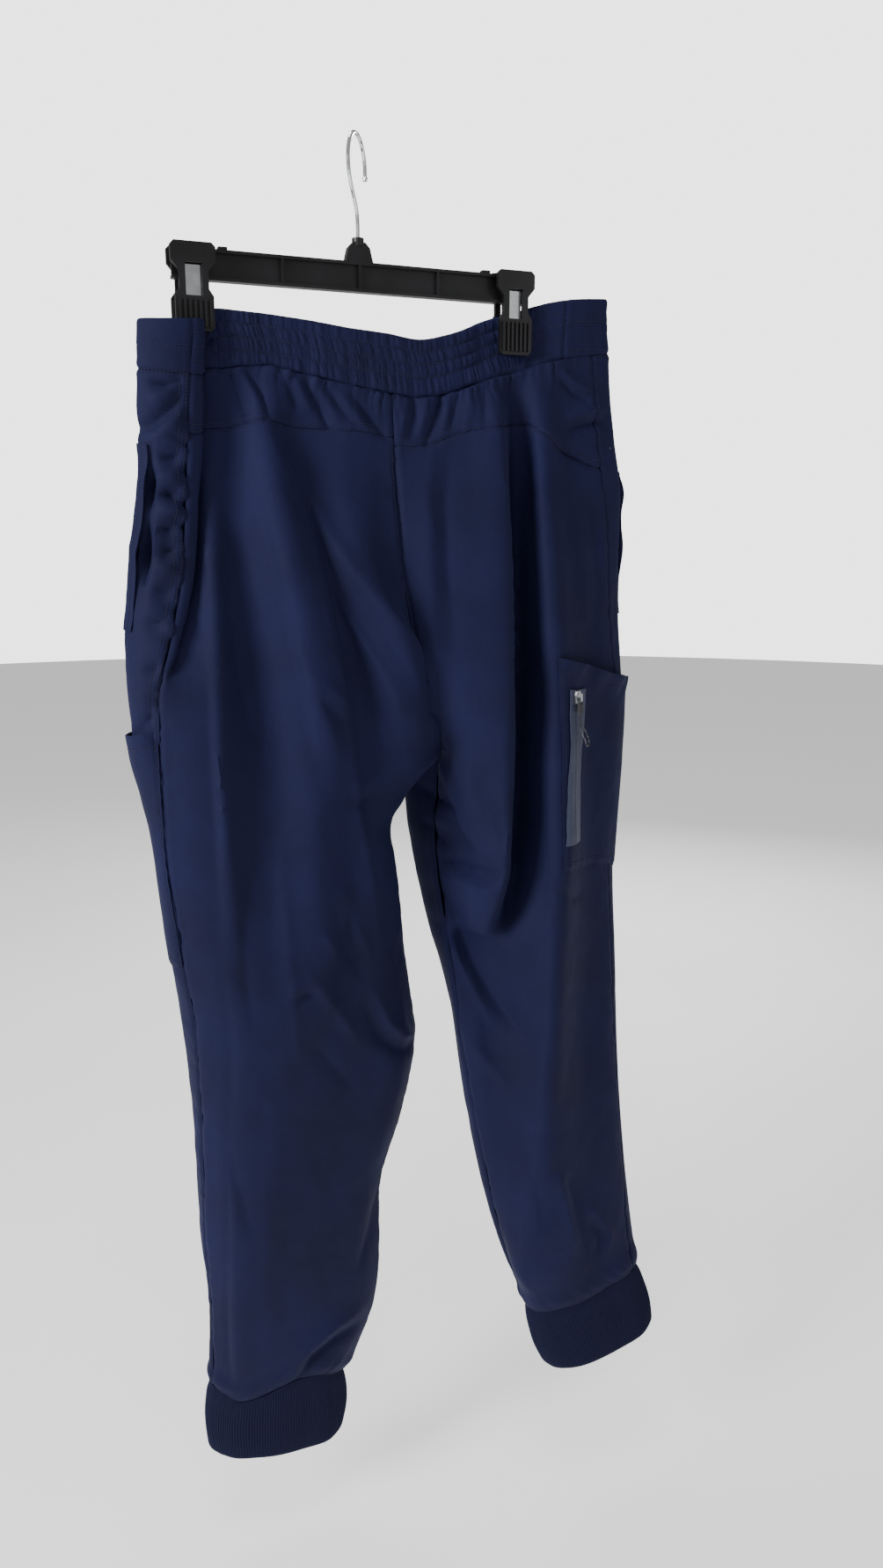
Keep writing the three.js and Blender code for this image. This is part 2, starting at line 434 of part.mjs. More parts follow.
// ---------------------------------------------------------------- pockets
const YOKE_Z = -236;             // the yoke seam's height beside the slash pockets
const zRow = (half, z) => {
  const cuffZ = half === 'left' ? -1115 : -1062;
  if (z > HIP_Z) return 2 + (YOKE_Z - z) / (YOKE_Z - HIP_Z);
  return z > CROTCH_Z ? hipRow(z) : 4 + (CROTCH_Z - z) / (CROTCH_Z - cuffZ);
};

// A patch lies on a half's cloth, moved out by its lift. Its columns and inner rows are those of the
// panel below it; its top and bottom edges slant from the first column to the last.
// top and bottom: the heights of the edge at the first and last column.
function patch(half, { columns, rows, top, bottom }, lift) {
  const cloth = half === 'left' ? leftCloth : rightCloth;
  const base = (u, v) => {
    const from = zRow(half, lerp(...top, u));
    const to = zRow(half, lerp(...bottom, u));
    return cloth(along(columns, u), along([from, ...rows, to], v));
  };
  // The right half's normals point out of the body and the left half's point into it.
  const outwards = half === 'left' ? -1 : 1;
  const surface = (u, v) => base(u, v).addScaledVector(normalOf(base, u, v), outwards * lift(u, v));
  return { surface, columns: columns.length - 1, rows: rows.length + 1 };
}

const patchWall = (piece) => clothWall(piece.surface, piece.columns, piece.rows, CLOTH_WALL);

const TOUCH = CLOTH_WALL + SEAM_GAP + 0.35;     // between the middles of two walls that lie on each other
const POCKET_GAPE = 2.2;
const pocketLift = (u, v) => TOUCH + POCKET_GAPE * Math.sin(Math.PI * u) * (1 - v) ** 2;
const hipRows = (...heights) => heights.map(hipRow);
const legRowsAt = (half, count) => LEG_SHARES[half].slice(0, count).map(shareRow);

const rightPocket = patch('right', {
  columns: [6.12, ...places(6.5, 9.5, 6), 9.9],
  rows: [...hipRows(-462, -482, -500), 4, ...legRowsAt('right', 3)],
  top: [-421, -452],
  bottom: [-617, -650],
}, pocketLift);

const leftPocket = patch('left', {
  columns: [11.1, ...places(11.5, 14, 5), 14.3],
  rows: [...hipRows(-482, -500), 4, ...legRowsAt('left', 5)],
  top: [-468, -474],
  bottom: [-676, -682],
}, pocketLift);

// A slash pocket's edge stands a little off the front panel beside the outer edge.
const mouthLift = (u, v) => TOUCH + 0.15 + 2 * (1 - u) * Math.sin(Math.PI * v) ** 2;
const MOUTH = { rows: [3, ...hipRows(-315, -345, -380)], top: [-244, -242], bottom: [-388, -386] };
const leftMouth = patch('left', { ...MOUTH, columns: [12.75, 13, 13.25] }, mouthLift);
const rightMouth = patch('right', { ...MOUTH, columns: [8.95, 9, 9.35] }, mouthLift);

// The zip runs down the back part of the right pocket, leaning a little inwards. Its middle column and
// its rows are the pocket's own.
const ZIP_WALL = 1.0;
const ZIP_LIFT = 0.5 * (CLOTH_WALL + ZIP_WALL) + SEAM_GAP + 0.4;
const ZIP_ROWS = [0.09, 0.125, 0.25, 0.375, 0.5, 0.625, 0.75, 0.9];
const ZIP = { innerTop: 0.08, innerBottom: 0.03, middle: 0.125, outerTop: 0.2, outerBottom: 0.145 };
const zipTape = (u, v) => {
  const inner = lerp(ZIP.innerTop, ZIP.innerBottom, v);
  const outer = lerp(ZIP.outerTop, ZIP.outerBottom, v);
  const at = [along([inner, ZIP.middle, outer], u), along(ZIP_ROWS, v)];
  return rightPocket.surface(...at).addScaledVector(normalOf(rightPocket.surface, ...at), ZIP_LIFT);
};

// ---------------------------------------------------------------- materials
const finish = (color, roughness, metalness = 0) => new THREE.MeshStandardMaterial({ color, roughness, metalness });
const TWILL = finish(0x212748, 0.8);
const KNIT = finish(0x1c2140, 0.9);
const TAPE = finish(0x3c425c, 0.7);
const PLASTIC = finish(0x1b1b1d, 0.45);
const CHROME = finish(0xc9cbd0, 0.15, 1);
const STEEL = finish(0x9a9ca0, 0.3, 1);
const ZIP_BLACK = finish(0x2a2a2e, 0.4);
const CORD = finish(0x1a1a1e, 0.8);

// ---------------------------------------------------------------- the hanger
// A box between two corners.
function block(from, to) {
  const size = to.map((value, i) => value - from[i]);
  const middle = to.map((value, i) => 0.5 * (value + from[i]));
  return new THREE.BoxGeometry(...size).translate(...middle);
}

// A plate: an outline of [x, z] points, thickened from one y to another.
function plate(outline, yFrom, yTo) {
  const shape = new THREE.Shape(outline.map(([x, z]) => new THREE.Vector2(x, z)));
  const geometry = new THREE.ExtrudeGeometry(shape, { depth: yTo - yFrom, bevelEnabled: false });
  return geometry.rotateX(Math.PI / 2).translate(0, yTo, 0);
}

const joined = (geometries) => geometries.map(toSolid).reduce((whole, piece) => whole.add(piece));

const BAR_BOTTOM_Z = BAR_TOP_Z - BAR_HEIGHT;
const WEB = 3;
const FLANGE = 2.5;
const PEG_RADIUS = 5;
const PEG_TOP_Z = -76.5;

// An I-section bar with ribs, stops beside the clips and a gusset that carries the hook's peg.
function hangerBar() {
  const end = HANGER_LENGTH / 2;
  const half = BAR_DEPTH / 2;
  const ribAt = (x) => block([x - 1, -half, BAR_BOTTOM_Z], [x + 1, half, BAR_TOP_Z]);
  const stopAt = (x) => block([x - 3.5, -3, BAR_TOP_Z - 1], [x + 3.5, 3, BAR_TOP_Z + 2.5]);
  const gusset = [[-12, BAR_TOP_Z - 1], [12, BAR_TOP_Z - 1], [9, -84], [5, -80], [-5, -80], [-9, -84]];
  const peg = new THREE.CylinderGeometry(PEG_RADIUS, PEG_RADIUS, 6, 20).rotateX(Math.PI / 2);
  return joined([
    block([-end, -WEB / 2, BAR_BOTTOM_Z], [end, WEB / 2, BAR_TOP_Z]),
    block([-end, -half, BAR_TOP_Z - FLANGE], [end, half, BAR_TOP_Z]),
    block([-end, -half, BAR_BOTTOM_Z], [end, half, BAR_BOTTOM_Z + FLANGE]),
    ...[-65, 0, 69].map(ribAt),
    ...[-112, 114].map(stopAt),
    plate(gusset, -4, 4),
    peg.translate(0, 0, PEG_TOP_Z - 3),
  ]);
}

// The wire rises from the peg, bends to the near side and closes over the top. along: the distance from
// the peg's axis in the hook's plane.
function hook() {
  const radius = HOOK_RADIUS + WIRE_DIAMETER / 2;
  const turn = THREE.MathUtils.degToRad(HOOK_TURN);
  const place = (along, z) => new THREE.Vector3(along * Math.sin(turn), along * Math.cos(turn), z);
  const stem = [[0, PEG_TOP_Z + SEAM_GAP], [0, -66], [-2, -57], [-9, -48], [-17.5, -39]];
  const bend = [198, 170, 140, 110, 80, 50, 20, -10].map((degrees) => {
    const angle = THREE.MathUtils.degToRad(degrees);
    return [radius * Math.cos(angle), radius * Math.sin(angle) - HOOK_RADIUS];
  });
  const path = new THREE.CatmullRomCurve3([...stem, ...bend].map(([along, z]) => place(along, z)));
  const circle = new THREE.Shape().absarc(0, 0, WIRE_DIAMETER / 2, 0, 2 * Math.PI);
  const wire = new THREE.ExtrudeGeometry(circle, { steps: 40, curveSegments: 5, extrudePath: path });
  const tip = new THREE.SphereGeometry(2.4, 14, 10).translate(...place(...bend[bend.length - 1]).toArray());
  return joined([wire, tip]);
}

// ---------------------------------------------------------------- the clips
const CLIP_TOP_Z = -92;
const JAW_OUTER_Y = 12.8;
const CLIPS = [
  { side: 'left', x: -CLIP_X, bottomZ: -157 },
  { side: 'right', x: CLIP_X + 2, bottomZ: -160.5 },
];

// One jaw of a clip, on the -Y side: a head in front of the bar, a waist, and a ridged grip that reaches
// in to the cloth. A lip rests over the bar, and a window shows the spring.
function jaw({ x, bottomZ }) {
  const half = 17.5;
  const waist = 11.5;
  const grip = 15;
  const bevel = 3;
  const outline = [
    [-half, CLIP_TOP_Z - bevel], [-half + bevel, CLIP_TOP_Z], [half - bevel, CLIP_TOP_Z], [half, CLIP_TOP_Z - bevel],
    [half, -106], [waist, -113], [waist, -126], [grip, -131], [grip, bottomZ + bevel], [grip - bevel, bottomZ],
    [-grip + bevel, bottomZ], [-grip, bottomZ + bevel], [-grip, -131], [-waist, -126], [-waist, -113], [-half, -106],
  ];
  const ridges = [-12, -8, -4, 0, 4, 8, 12].map((at) => block([at - 1, -JAW_OUTER_Y, bottomZ + 3], [at + 1, -7, -134]));
  const inner = block([-grip + 1, -8, bottomZ + 1], [grip - 1, -GRIP_GAP, -133]);
  const lip = block([-12, -8, BAR_TOP_Z + SEAM_GAP], [12, -0.2, CLIP_TOP_Z]);
  const solid = joined([plate(outline, -10.8, -7), inner, lip, ...ridges])
    .subtract(toSolid(block([-6.5, -14, -131], [6.5, -6, -107])));
  return toGeometry(solid.translate(x, 0, 0));
}

// A steel strip passes under the bar and lies against both jaws, which it presses together.
const SPRING = { width: 12, wall: 0.8, legY: 6.2, topZ: -108, bottomZ: -132 };

function clipSpring({ x }) {
  const { width, wall, legY, topZ, bottomZ } = SPRING;
  const leg = (y) => block([-width / 2, y - wall / 2, bottomZ], [width / 2, y + wall / 2, topZ]);
  const bridge = block([-width / 2, -legY, BAR_BOTTOM_Z - 1.2], [width / 2, legY, BAR_BOTTOM_Z - 0.4]);
  return toGeometry(joined([leg(-legY), leg(legY), bridge]).translate(x, 0, 0));
}

// ---------------------------------------------------------------- the zip's slider, pull and cord
// The slider's own frame stands on the zip tape: x to the wearer's right, y up the zip, z away from it.
const SLIDER_SHARE = 0.1;
const SLIDER_WALL = 2.6;
const PIN_Y = -1;
const PIN_Z = 3.9;
const PULL_END = 26;             // from the pin to the end of the pull's rod

function sliderFrame() {
  const out = normalOf(zipTape, 0.5, SLIDER_SHARE);
  const side = new THREE.Vector3(-out.y, out.x, 0).normalize();
  const up = out.clone().cross(side);
  const foot = zipTape(0.5, SLIDER_SHARE).addScaledVector(out, ZIP_WALL / 2 + SEAM_GAP + 0.1);
  return new THREE.Matrix4().makeBasis(side, up, out).setPosition(foot);
}

const SLIDER_FRAME = sliderFrame();
const onSlider = (solid) => toGeometry(solid).applyMatrix4(SLIDER_FRAME);

// A tapered body with an arch over its middle, through which the pull's pin passes.
function zipSlider() {
  const outline = new THREE.Shape([[-4, 2], [-2.8, 5.5], [2.8, 5.5], [4, 2], [3.2, -5.5], [-3.2, -5.5]]
    .map(([x, y]) => new THREE.Vector2(x, y)));
  return joined([
    new THREE.ExtrudeGeometry(outline, { depth: SLIDER_WALL, bevelEnabled: false }),
    block([-1, 2.5, 2], [1, 3.6, 5.9]),
    block([-1, -3.6, 2], [1, -2.5, 5.9]),
    block([-1, -3.6, 5], [1, 3.6, 5.9]),
  ]);
}

// The pull: a pin between two arms, a flat block and a round rod.
function zipPull() {
  const arm = (x) => block([x - 0.5, PIN_Y - 6, PIN_Z - 0.6], [x + 0.5, PIN_Y + 0.6, PIN_Z + 0.6]);
  const pin = new THREE.CylinderGeometry(0.55, 0.55, 4, 12).rotateZ(Math.PI / 2).translate(0, PIN_Y, PIN_Z);
  const rod = new THREE.CylinderGeometry(0.8, 0.8, PULL_END - 13, 12);
  return joined([
    pin,
    arm(-1.9),
    arm(1.9),
    block([-3.5, PIN_Y - 13.4, PIN_Z - 0.8], [3.5, PIN_Y - 5.4, PIN_Z + 0.8]),
    rod.translate(0, PIN_Y - 0.5 * (PULL_END + 13), PIN_Z),
  ]);
}

// The cord's route in the slider's frame: out of the rod's end, round a small loop, and back up to it.
const CORD_DIAMETER = 1.2;
const CORD_ROUTE = [
  [0.1, -27.3, 3.9], [0.4, -29.2, 3.9], [1.5, -32, 4.0], [3.4, -35, 4.0], [5.8, -38, 3.9], [8, -40.8, 3.7],
  [9.8, -43.6, 3.5], [11.3, -45.6, 3.3], [13.2, -46.4, 3.2], [14.7, -45.2, 3.2], [14.6, -43, 3.3],
  [13.2, -40.4, 3.6], [11.4, -37.4, 3.9], [9.2, -34.4, 4.2], [6.8, -31.6, 4.5], [4.4, -29.3, 4.8],
  [2.6, -27.7, 4.9],
];

function pullCord() {
  const path = new THREE.CatmullRomCurve3(CORD_ROUTE.map((point) => new THREE.Vector3(...point)));
  const circle = new THREE.Shape().absarc(0, 0, CORD_DIAMETER / 2, 0, 2 * Math.PI);
  return new THREE.ExtrudeGeometry(circle, { steps: 24, curveSegments: 4, extrudePath: path });
}

const joggers = new THREE.Group();
function add(name, geometry, material) {
  const mesh = new THREE.Mesh(geometry, material);
  mesh.name = name;
  joggers.add(mesh);
  return mesh;
}

// ---------------------------------------------------------------- the garment
add('waistband_back', band(backRing, [...backwards(LEFT_BACK), ...places(0, RIGHT_PANEL, 14).slice(1)]), TWILL);
add('waistband_front', band(frontRing, FRONT_BAND), TWILL);
add('back_yoke_left', panel('left', LEFT_BACK, YOKE_ROWS), TWILL);
add('back_yoke_right', panel('right', RIGHT_BACK, YOKE_ROWS), TWILL);
add('back_leg_left', panel('left', LEFT_BACK, backLegRows('left')), TWILL);
add('back_leg_right', panel('right', RIGHT_BACK, backLegRows('right')), TWILL);
add('front_leg_left', panel('left', LEFT_FRONT, frontLegRows('left')), TWILL);
add('front_leg_right', panel('right', RIGHT_FRONT, frontLegRows('right')), TWILL);
add('cuff_left', cuff('left'), KNIT);
add('cuff_right', cuff('right'), KNIT);
add('cargo_pocket_right', patchWall(rightPocket), TWILL);
add('cargo_pocket_left', patchWall(leftPocket), TWILL);
add('slash_pocket_edge_left', patchWall(leftMouth), TWILL);
add('slash_pocket_edge_right', patchWall(rightMouth), TWILL);
add('zip_tape', clothWall(zipTape, 2, ZIP_ROWS.length - 1, ZIP_WALL), TAPE);
add('zip_slider', onSlider(zipSlider()), STEEL);
add('zip_pull', onSlider(zipPull()), ZIP_BLACK);
add('pull_cord', closed(pullCord()).applyMatrix4(SLIDER_FRAME), CORD);

// ---------------------------------------------------------------- the hanger and its clips
add('hanger_bar', toGeometry(hangerBar()), PLASTIC);
add('hanger_hook', toGeometry(hook()), CHROME);
for (const clip of CLIPS) {
  add(`clip_jaw_back_${clip.side}`, jaw(clip), PLASTIC);
  add(`clip_jaw_front_${clip.side}`, jaw({ ...clip, x: -clip.x }).rotateZ(Math.PI), PLASTIC);
  add(`clip_spring_${clip.side}`, clipSpring(clip), STEEL);
}

export default joggers;
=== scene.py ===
"""Looks of the cargo scrub joggers that hang from a two-clip trouser hanger.

Tables and shapes are in millimetres in the part's own frame: +X is the wearer's right, -Y the
garment's back, +Z up, and the origin is the inside of the hook's crown. Meshes are made in metres.
"""

import math

import bpy
import numpy as np
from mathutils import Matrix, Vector


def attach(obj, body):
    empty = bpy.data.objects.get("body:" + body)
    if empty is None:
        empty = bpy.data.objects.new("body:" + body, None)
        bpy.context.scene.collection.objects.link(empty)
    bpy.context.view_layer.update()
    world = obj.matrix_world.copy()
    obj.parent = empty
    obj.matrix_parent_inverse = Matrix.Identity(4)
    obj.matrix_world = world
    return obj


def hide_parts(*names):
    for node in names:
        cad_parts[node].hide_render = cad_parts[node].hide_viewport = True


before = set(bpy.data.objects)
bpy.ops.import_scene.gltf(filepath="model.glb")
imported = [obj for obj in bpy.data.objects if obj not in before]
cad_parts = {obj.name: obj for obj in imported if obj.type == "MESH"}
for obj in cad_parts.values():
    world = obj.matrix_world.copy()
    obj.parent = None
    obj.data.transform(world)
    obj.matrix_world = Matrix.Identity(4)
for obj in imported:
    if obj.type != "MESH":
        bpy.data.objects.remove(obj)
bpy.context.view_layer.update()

MM = 0.001
GARMENT = "joggers_on_hanger"
PULL = "zip_pull"

# ---------------------------------------------------------------- driving sizes
TWILL_WALL = 1.1
BAND_WALL = 1.8
CUFF_WALL = 1.9
TAPE_WALL = 0.7
HIP_Z = -275
CROTCH_Z = -508
YOKE_Z = -236
CUFF_Z = {"left": -1115, "right": -1062}

# Rows of stitches, by their distance from the edge that they run along.
PANEL_STITCH = 2.4
FLAT_STITCH = 1.8                         # on the panels' top edges and the yokes' lower ones
YOKE_SECOND_STITCH = 6.6
BAND_STITCH_ROWS = (10.5, 21, 31.5)       # from the top edge: between the elastic's four channels
FRONT_STITCH_ROWS = (19, 43)
POCKET_STITCH = 2.2
POCKET_HEM_STITCHES = (2.2, 8.5)
POCKET_MOUTH_STITCH = 12
SLASH_STITCH = 5.0
CUFF_SEAM_STITCH = 2.2

# Rows of the cloth, just short of its seams.
WAIST_EDGE, ABOVE_BAND_SEAM, BELOW_BAND_SEAM = 0, 0.998, 1.002
ABOVE_YOKE_SEAM, BELOW_YOKE_SEAM = 1.998, 2.002
ABOVE_CUFF_SEAM = 4.9997

# ---------------------------------------------------------------- lines of the garment
# Each line runs down the cloth: a seam, the crest of a fold or the bottom of one.
# at: the heights where it crosses the waist edge, band seam, yoke seam and cuff seam.
# run: its stations, each (height, x, y).
CENTRE_BACK = [(-150, 23, -9), (-197, 24, -12), (-236, 25, -14), (-280, 26, -18), (-336, 28, -24),
        (-381, 33, -28), (-427, 43, -26), (-468, 56, -18), (-495, 67, -8)]
CENTRE_FRONT = [(-156, 31, 11), (-200, 31, 14), (-240, 31, 17), (-300, 33, 23), (-345, 36, 26),
        (-405, 44, 27), (-450, 54, 23), (-482, 62, 16), (-500, 69, 9)]
LEFT_INSEAM = [(-508, 72, 2), (-528, 54, 4), (-550, 36, 5), (-575, 22, 4), (-627, 28, 2), (-680, 33, 2),
        (-725, 38, 2), (-790, 46, 2), (-860, 31, 2), (-940, 9, 4), (-1000, 8, 8), (-1056, 3, 8),
        (-1100, -12, 6), (-1134, -34, 2)]
RIGHT_INSEAM = [(-508, 75, 3), (-520, 76, 10), (-549, 74, 13), (-591, 71, 10), (-642, 74, 6),
        (-703, 82, -2), (-756, 87, -9), (-845, 96, -21), (-927, 108, -31), (-985, 119, -37),
        (-1025, 131, -41), (-1078, 147, -48)]

LEFT_LINES = [
    ("centre_back", (-149.5, -197, -233, -1134), [*CENTRE_BACK, *LEFT_INSEAM]),
    ("inner_ridge", (-147, -191, -228, -1126), [(-147, -10, -9), (-191, -11, -11), (-229, -16, -14),
        (-278, -20, -22), (-324, -12, -34), (-365, 6, -40), (-410, 24, -40), (-454, 38, -34),
        (-482, 43, -28), (-508, 45, -22), (-545, 20, -18), (-575, 8, -17), (-627, 14, -16),
        (-680, 20, -16), (-725, 26, -16), (-790, 33, -16), (-860, 18, -15), (-940, -6, -12),
        (-1009, -8, -9), (-1085, -20, -11), (-1126, -48, -14)]),
    ("inner_valley", (-143, -184, -226, -1116), [(-143, -46, -8), (-184, -50, -9), (-226, -62, -10),
        (-278, -60, -14), (-321, -46, -18), (-387, -26, -22), (-443, -15, -25), (-508, -18, -30),
        (-569, -30, -35), (-649, -30, -38), (-762, -26, -34), (-865, -44, -30), (-985, -60, -26),
        (-1080, -72, -24), (-1116, -80, -21)]),
    ("seat_ridge", (-140, -179, -222, -1118), [(-140, -80, -6), (-180, -84, -9), (-222, -87, -18),
        (-287, -81, -30), (-360, -71, -40), (-453, -58, -46), (-519, -56, -48), (-602, -62, -48),
        (-752, -66, -44), (-853, -84, -38), (-972, -94, -32), (-1070, -98, -28), (-1118, -104, -23)]),
    ("seat_valley", (-138.5, -181, -228, -1124), [(-138, -104, -4), (-181, -106, -7), (-228, -112, -7),
        (-269, -116, -10), (-391, -108, -22), (-485, -100, -28), (-525, -98, -32), (-607, -98, -38),
        (-745, -102, -44), (-846, -114, -40), (-964, -120, -34), (-1071, -122, -28), (-1124, -124, -21)]),
    ("outer_ridge", (-138, -183, -229, -1124), [(-138, -119, -2.2), (-160, -119, -2.2), (-183, -121, -4),
        (-229, -129, -6), (-269, -133, -12), (-341, -135, -28), (-410, -137, -37), (-482, -141, -42),
        (-577, -141, -44), (-674, -138, -42), (-742, -134, -40), (-843, -140, -34), (-961, -145, -28),
        (-1072, -148, -21), (-1124, -146, -17)]),
    ("under_flap", (-143, -184, -230, -1121), [(-139, -137, -2.2), (-160, -137, -2.2), (-185, -139, -3.5),
        (-230, -142, -5), (-300, -146, -10), (-345, -149, -15), (-380, -151, -22), (-405, -151, -28.5),
        (-425, -151, -34), (-442, -151, -37.5), (-482, -151, -40.5), (-560, -151, -42), (-670, -146, -39),
        (-745, -142, -36), (-845, -145, -31), (-950, -149, -25), (-1025, -150, -19), (-1121, -150, -15)]),
    ("tuck_in", (-158, -185, -231, -1119), [(-139, -153, -2.2), (-160, -153, -2.2), (-185, -154, -3.5),
        (-230, -156, -5), (-300, -160, -9), (-345, -162, -14), (-380, -164, -19.5), (-405, -164, -25),
        (-425, -162, -31), (-442, -161, -35.5), (-482, -160, -39), (-560, -159, -40), (-670, -152, -37),
        (-745, -147, -34), (-845, -149, -29), (-950, -153, -22), (-1025, -154, -16), (-1119, -153, -13)]),
    ("tuck", (-155, -186, -232, -1117), [(-142, -162, -9), (-160, -162, -9), (-185, -163.5, -9.5),
        (-230, -165, -10), (-300, -169, -13), (-345, -171, -17), (-380, -174, -21.5), (-405, -175, -25.5),
        (-425, -171, -30), (-442, -169, -34), (-482, -167, -37), (-560, -166, -37.5), (-670, -158, -34),
        (-745, -152, -31), (-845, -153, -26), (-950, -156, -19), (-1025, -157, -13), (-1117, -156, -11)]),
    ("tuck_out", (-153, -188, -233, -1115), [(-144, -153, -15.5), (-160, -153, -15.5), (-185, -154, -15),
        (-230, -156, -15.5), (-300, -160, -17.5), (-345, -163, -20.5), (-380, -169, -24.5),
        (-405, -172.5, -28), (-425, -175, -30.7), (-442, -175, -33), (-482, -173, -34.5),
        (-560, -172, -34.5), (-670, -163, -31), (-745, -157, -28), (-845, -157, -22), (-950, -159, -16),
        (-1025, -159.5, -10), (-1115, -159, -9)]),
    ("flap_fold", (-149, -190, -234, -1113), [(-146, -133, -19), (-160, -133, -19), (-185, -135, -19),
        (-230, -137, -19.5), (-300, -144, -21), (-345, -150, -23.5), (-380, -160, -27),
        (-405, -169, -30.5), (-425, -177.5, -31.8), (-442, -180, -31.5), (-482, -179, -31.5),
        (-560, -178, -31), (-670, -168, -27), (-745, -162, -24), (-845, -161, -18), (-950, -162, -12),
        (-1025, -161.5, -7), (-1113, -161.5, -6.5)]),
    ("side_seam", (-150, -190, -235, -1111), [(-146, -142, -22.5), (-160, -142, -22.5),
        (-185, -145, -22.5), (-230, -149, -23), (-300, -155, -24.5), (-345, -160, -26.5),
        (-380, -168, -30), (-405, -175, -32.5), (-425, -181, -31.5), (-442, -184, -30),
        (-482, -184.5, -28), (-560, -184, -26.5), (-670, -174, -21), (-745, -166, -18), (-845, -164, -12),
        (-950, -165, -7), (-1025, -163, -4), (-1111, -164, -4)]),
    ("flap", (-151, -189, -235, -1110), [(-146, -163, -22), (-185, -165, -22.5), (-230, -168, -23),
        (-300, -176, -24), (-345, -182, -25), (-380, -188, -26), (-405, -192, -26), (-425, -195, -25),
        (-442, -197, -23), (-482, -197, -19), (-560, -190, -17), (-670, -180, -12), (-745, -171, -9),
        (-845, -167, -5), (-950, -167, 0), (-1025, -164, 1), (-1110, -166, 0)]),
    ("outer_left", (-151.5, -187, -236, -1110), [(-146, -181.5, -11), (-185, -183, -12),
        (-230, -186, -12), (-253, -185, -12), (-306, -192, -10), (-345, -197.5, -8), (-405, -204.5, -6),
        (-482, -203.5, -4), (-560, -191.5, -2), (-665, -181, 1), (-745, -173.5, 3), (-845, -168, 5),
        (-950, -167.5, 7), (-1025, -163, 7), (-1110, -166, 6)]),
    ("round_left", (-157, -185, -236, -1112), [(-146, -165, -2), (-160, -167, -1), (-185, -174, 2),
        (-230, -178, 3), (-300, -185, 8), (-345, -190, 10), (-405, -196, 13), (-482, -195, 18),
        (-560, -182, 21), (-670, -172, 22), (-745, -163, 23), (-845, -160, 21), (-950, -160, 19),
        (-1025, -157, 18), (-1112, -160, 13)]),
    ("front_a", (-150, -182, -236, -1116), [(-142, -124, 1.5), (-160, -125, 1.5), (-185, -130, 6),
        (-230, -136, 12), (-300, -142, 22), (-345, -145, 27), (-405, -150, 31), (-482, -150, 35),
        (-560, -148, 36), (-670, -140, 35), (-745, -132, 34), (-845, -130, 31), (-950, -133, 27),
        (-1025, -134, 24), (-1116, -136, 20)]),
    ("front_b", (-146, -186, -236, -1118), [(-146, -75, 7), (-185, -78, 12), (-230, -82, 20),
        (-300, -86, 24), (-345, -88, 26), (-405, -92, 32), (-482, -96, 40), (-560, -98, 42),
        (-670, -90, 40), (-745, -84, 38), (-845, -86, 34), (-950, -92, 29), (-1025, -96, 26),
        (-1118, -98, 21)]),
    ("front_c", (-152, -193, -237, -1121), [(-152, -24, 9), (-193, -25, 13), (-237, -26, 18),
        (-300, -24, 30), (-345, -22, 34), (-405, -20, 38), (-482, -20, 38), (-560, -40, 36),
        (-670, -32, 34), (-745, -24, 32), (-845, -36, 29), (-950, -50, 25), (-1025, -52, 24),
        (-1121, -62, 18)]),
    ("front_d", (-155, -198, -238, -1129), [(-155, 8, 10), (-198, 8, 14), (-237, 8, 16), (-300, 10, 24),
        (-405, 26, 31), (-450, 38, 29), (-482, 44, 25), (-508, 48, 20), (-530, 34, 20), (-560, 14, 20),
        (-627, 15, 19), (-680, 20, 18), (-745, 28, 18), (-790, 32, 18), (-860, 17, 17), (-940, -5, 18),
        (-1000, -8, 20), (-1056, -12, 19), (-1129, -44, 15)]),
    ("centre_front", (-156, -200, -239, -1134), [*CENTRE_FRONT, *LEFT_INSEAM]),
]

